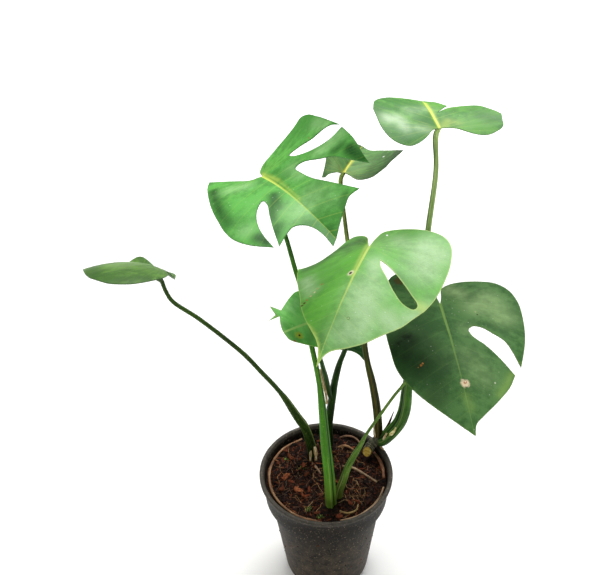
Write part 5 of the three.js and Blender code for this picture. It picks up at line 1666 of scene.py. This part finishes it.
# The cut end is dished a little: its hub is drawn in, and a ring of pith lies within the skin.
first_ring = np.array(points[:STEM_SIDES])
pith_ring = points[hub] + (first_ring - points[hub]) * 0.86 - axis * 0.15
faces = [face for face in faces if hub not in face]
count = len(points)
points = np.vstack([points, pith_ring])
points[hub] += axis * 0.9
for key in numbers:
    numbers[key] += list(np.array(numbers[key])[:STEM_SIDES])
for j in range(STEM_SIDES):
    k = (j + 1) % STEM_SIDES
    faces += [(j, count + j, count + k, k), (hub, count + k, count + j)]
numbers["cut"] = [0.0] * count + [1.0] * STEM_SIDES
numbers["cut"][hub] = 0.85
stem = new_piece("creeping_stem_skin", points, faces, stem_skin, numbers)
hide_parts("creeping_stem")

# The anchor root has the same dry skin as the tan surface root.
anchor_skin = bpy.data.materials["dry_root_skin_tan"]
points, faces, numbers = rod(
    ANCHOR_ROUTE,
    lambda u: 2.6 * (1 - 0.25 * u) * (1 + 0.12 * noise.noise(Vector((u * 11, 5, 0)))),
    sides=14,
    step=1.6,
    inner=(0, -1, 0),
)
anchor = new_piece("anchor_root", points, faces, anchor_skin, numbers)
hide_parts("creeping_stem")

# A sheath that withered on the plant: stiff dead tissue, purple-brown, with fine fibres along it.
spike_skin, tree = new_material("withered_sheath")
place = add(tree, "TexCoord")
grain = add(tree, "Mapping", {"Vector": (place, "Object"), "Scale": (700, 700, 50)})
veins = add(tree, "TexNoise", {"Vector": (grain, 0), "Scale": 1, "Detail": 4})
tone = add(
    tree,
    "ValToRGB",
    {0: (veins, "Fac")},
    stops=[(0.35, linear("#2a1712")), (0.55, linear("#55332a")), (0.7, linear("#8b6652"))],
)
relief = add(tree, "Bump", {"Height": (veins, "Fac"), "Strength": 0.6, "Distance": 0.0005})
shader = add(tree, "BsdfPrincipled", {"Base Color": (tone, 0), "Roughness": 0.75, "Normal": (relief, 0)})
add(tree, "OutputMaterial", {"Surface": (shader, 0)})
points, faces, numbers = rod(
    SPIKE_ROUTE,
    lambda u: 2.6 - 2.1 * u,
    sides=14,
    step=1.6,
    inner=(0, -1, 0),
    shape_at=lambda a, u: 1 - 0.4 * np.exp(
        -((np.abs(np.arctan2(np.sin(a), np.cos(a))) / 0.6) ** 2)
    ) + 0.08 * np.sin(5 * a + 6 * u),
)
spike = new_piece("withered_sheath_spike", points, faces, spike_skin, numbers)
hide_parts("creeping_stem")


# ------------------------------------------------------------------------------------------------ studio
# A plain pale floor under soft light: a wide softbox over the back, weak fills from the left and the right,
# and a pale room. The floor glows more the further it lies from the pot, so that it fades into the room.
BACKDROP_REACH = 12
ROOM_GLOW = 0.22

# Matt white paper, too rough to shine.
floor_material, tree = new_material("pale_backdrop_paper")
place = add(tree, "TexCoord")
distance = add(tree, "VectorMath", {0: (place, "Object")}, operation="LENGTH")
far = add(
    tree, "MapRange",
    {"Value": (distance, "Value"), "From Min": 0.9, "From Max": 2.6, "To Min": 0.1, "To Max": 1.0},
)
shader = add(
    tree,
    "BsdfPrincipled",
    {
        "Base Color": linear("#f6f6f4"), "Roughness": 0.95, "Emission Color": linear("#ffffff"),
        "Emission Strength": (far, 0),
    },
)
add(tree, "OutputMaterial", {"Surface": (shader, 0)})
mesh = bpy.data.meshes.new("floor")
corners = [(x * BACKDROP_REACH, y * BACKDROP_REACH, 0) for x, y in ((-1, -1), (1, -1), (1, 1), (-1, 1))]
mesh.from_pydata(corners, [], [(0, 1, 2, 3)])
mesh.materials.append(floor_material)
floor = bpy.data.objects.new("floor", mesh)
bpy.context.scene.collection.objects.link(floor)

# Each light: its name, its place, what it is aimed at, its size, its power in watts and its colour.
LIGHTS = [
    ("softbox_over", (0.3, 1.05, 2.5), (0, 0, 0.4), (1.7, 1.5), 82, "#ffffff"),
    ("softbox_left", (-2.0, -1.2, 2.2), (0, 0, 0.35), (1.6, 1.6), 20, "#fffdf8"),
    ("softbox_right", (2.4, -0.6, 1.4), (0, 0, 0.35), (1.2, 1.2), 6, "#f8fbff"),
]
for name, place, aim, size, power, colour in LIGHTS:
    lamp = bpy.data.lights.new(name, "AREA")
    lamp.shape, lamp.size, lamp.size_y, lamp.energy = "RECTANGLE", *size, power
    lamp.color = linear(colour)[:3]
    light = bpy.data.objects.new(name, lamp)
    light.location = place
    light.rotation_euler = (Vector(aim) - Vector(place)).to_track_quat("-Z", "Y").to_euler()
    bpy.context.scene.collection.objects.link(light)
world = bpy.data.worlds.new("pale_room")
world.use_nodes = True
world.node_tree.nodes["Background"].inputs["Color"].default_value = linear("#ffffff")
world.node_tree.nodes["Background"].inputs["Strength"].default_value = ROOM_GLOW
bpy.context.scene.world = world
bpy.context.scene.view_settings.view_transform = "Standard"

# The camera of the photograph: 0.7 m from the middle of the plant, looking 30.6 degrees down and tipped a
# little.
PITCH, ROLL = math.radians(30.6), math.radians(-1.77)
CAMERA_PLACE = (-0.020, -0.550, 0.764)
FOCAL_PX, WIDTH_PX = 610, 609
SENSOR_WIDTH = 36
forward = Vector((0, math.cos(PITCH), -math.sin(PITCH)))
level = Vector((1, 0, 0))
raised = level.cross(forward)
right = level * math.cos(ROLL) + raised * math.sin(ROLL)
above = raised * math.cos(ROLL) - level * math.sin(ROLL)
camera_data = bpy.data.cameras.new("camera")
camera_data.sensor_width = SENSOR_WIDTH
camera_data.lens = SENSOR_WIDTH * FOCAL_PX / WIDTH_PX
camera_data.clip_end = 50
camera = bpy.data.objects.new("camera", camera_data)
camera.matrix_world = Matrix(
    (
        (right.x, above.x, -forward.x, CAMERA_PLACE[0]),
        (right.y, above.y, -forward.y, CAMERA_PLACE[1]),
        (right.z, above.z, -forward.z, CAMERA_PLACE[2]),
        (0, 0, 0, 1),
    )
)
bpy.context.scene.collection.objects.link(camera)
bpy.context.scene.camera = camera
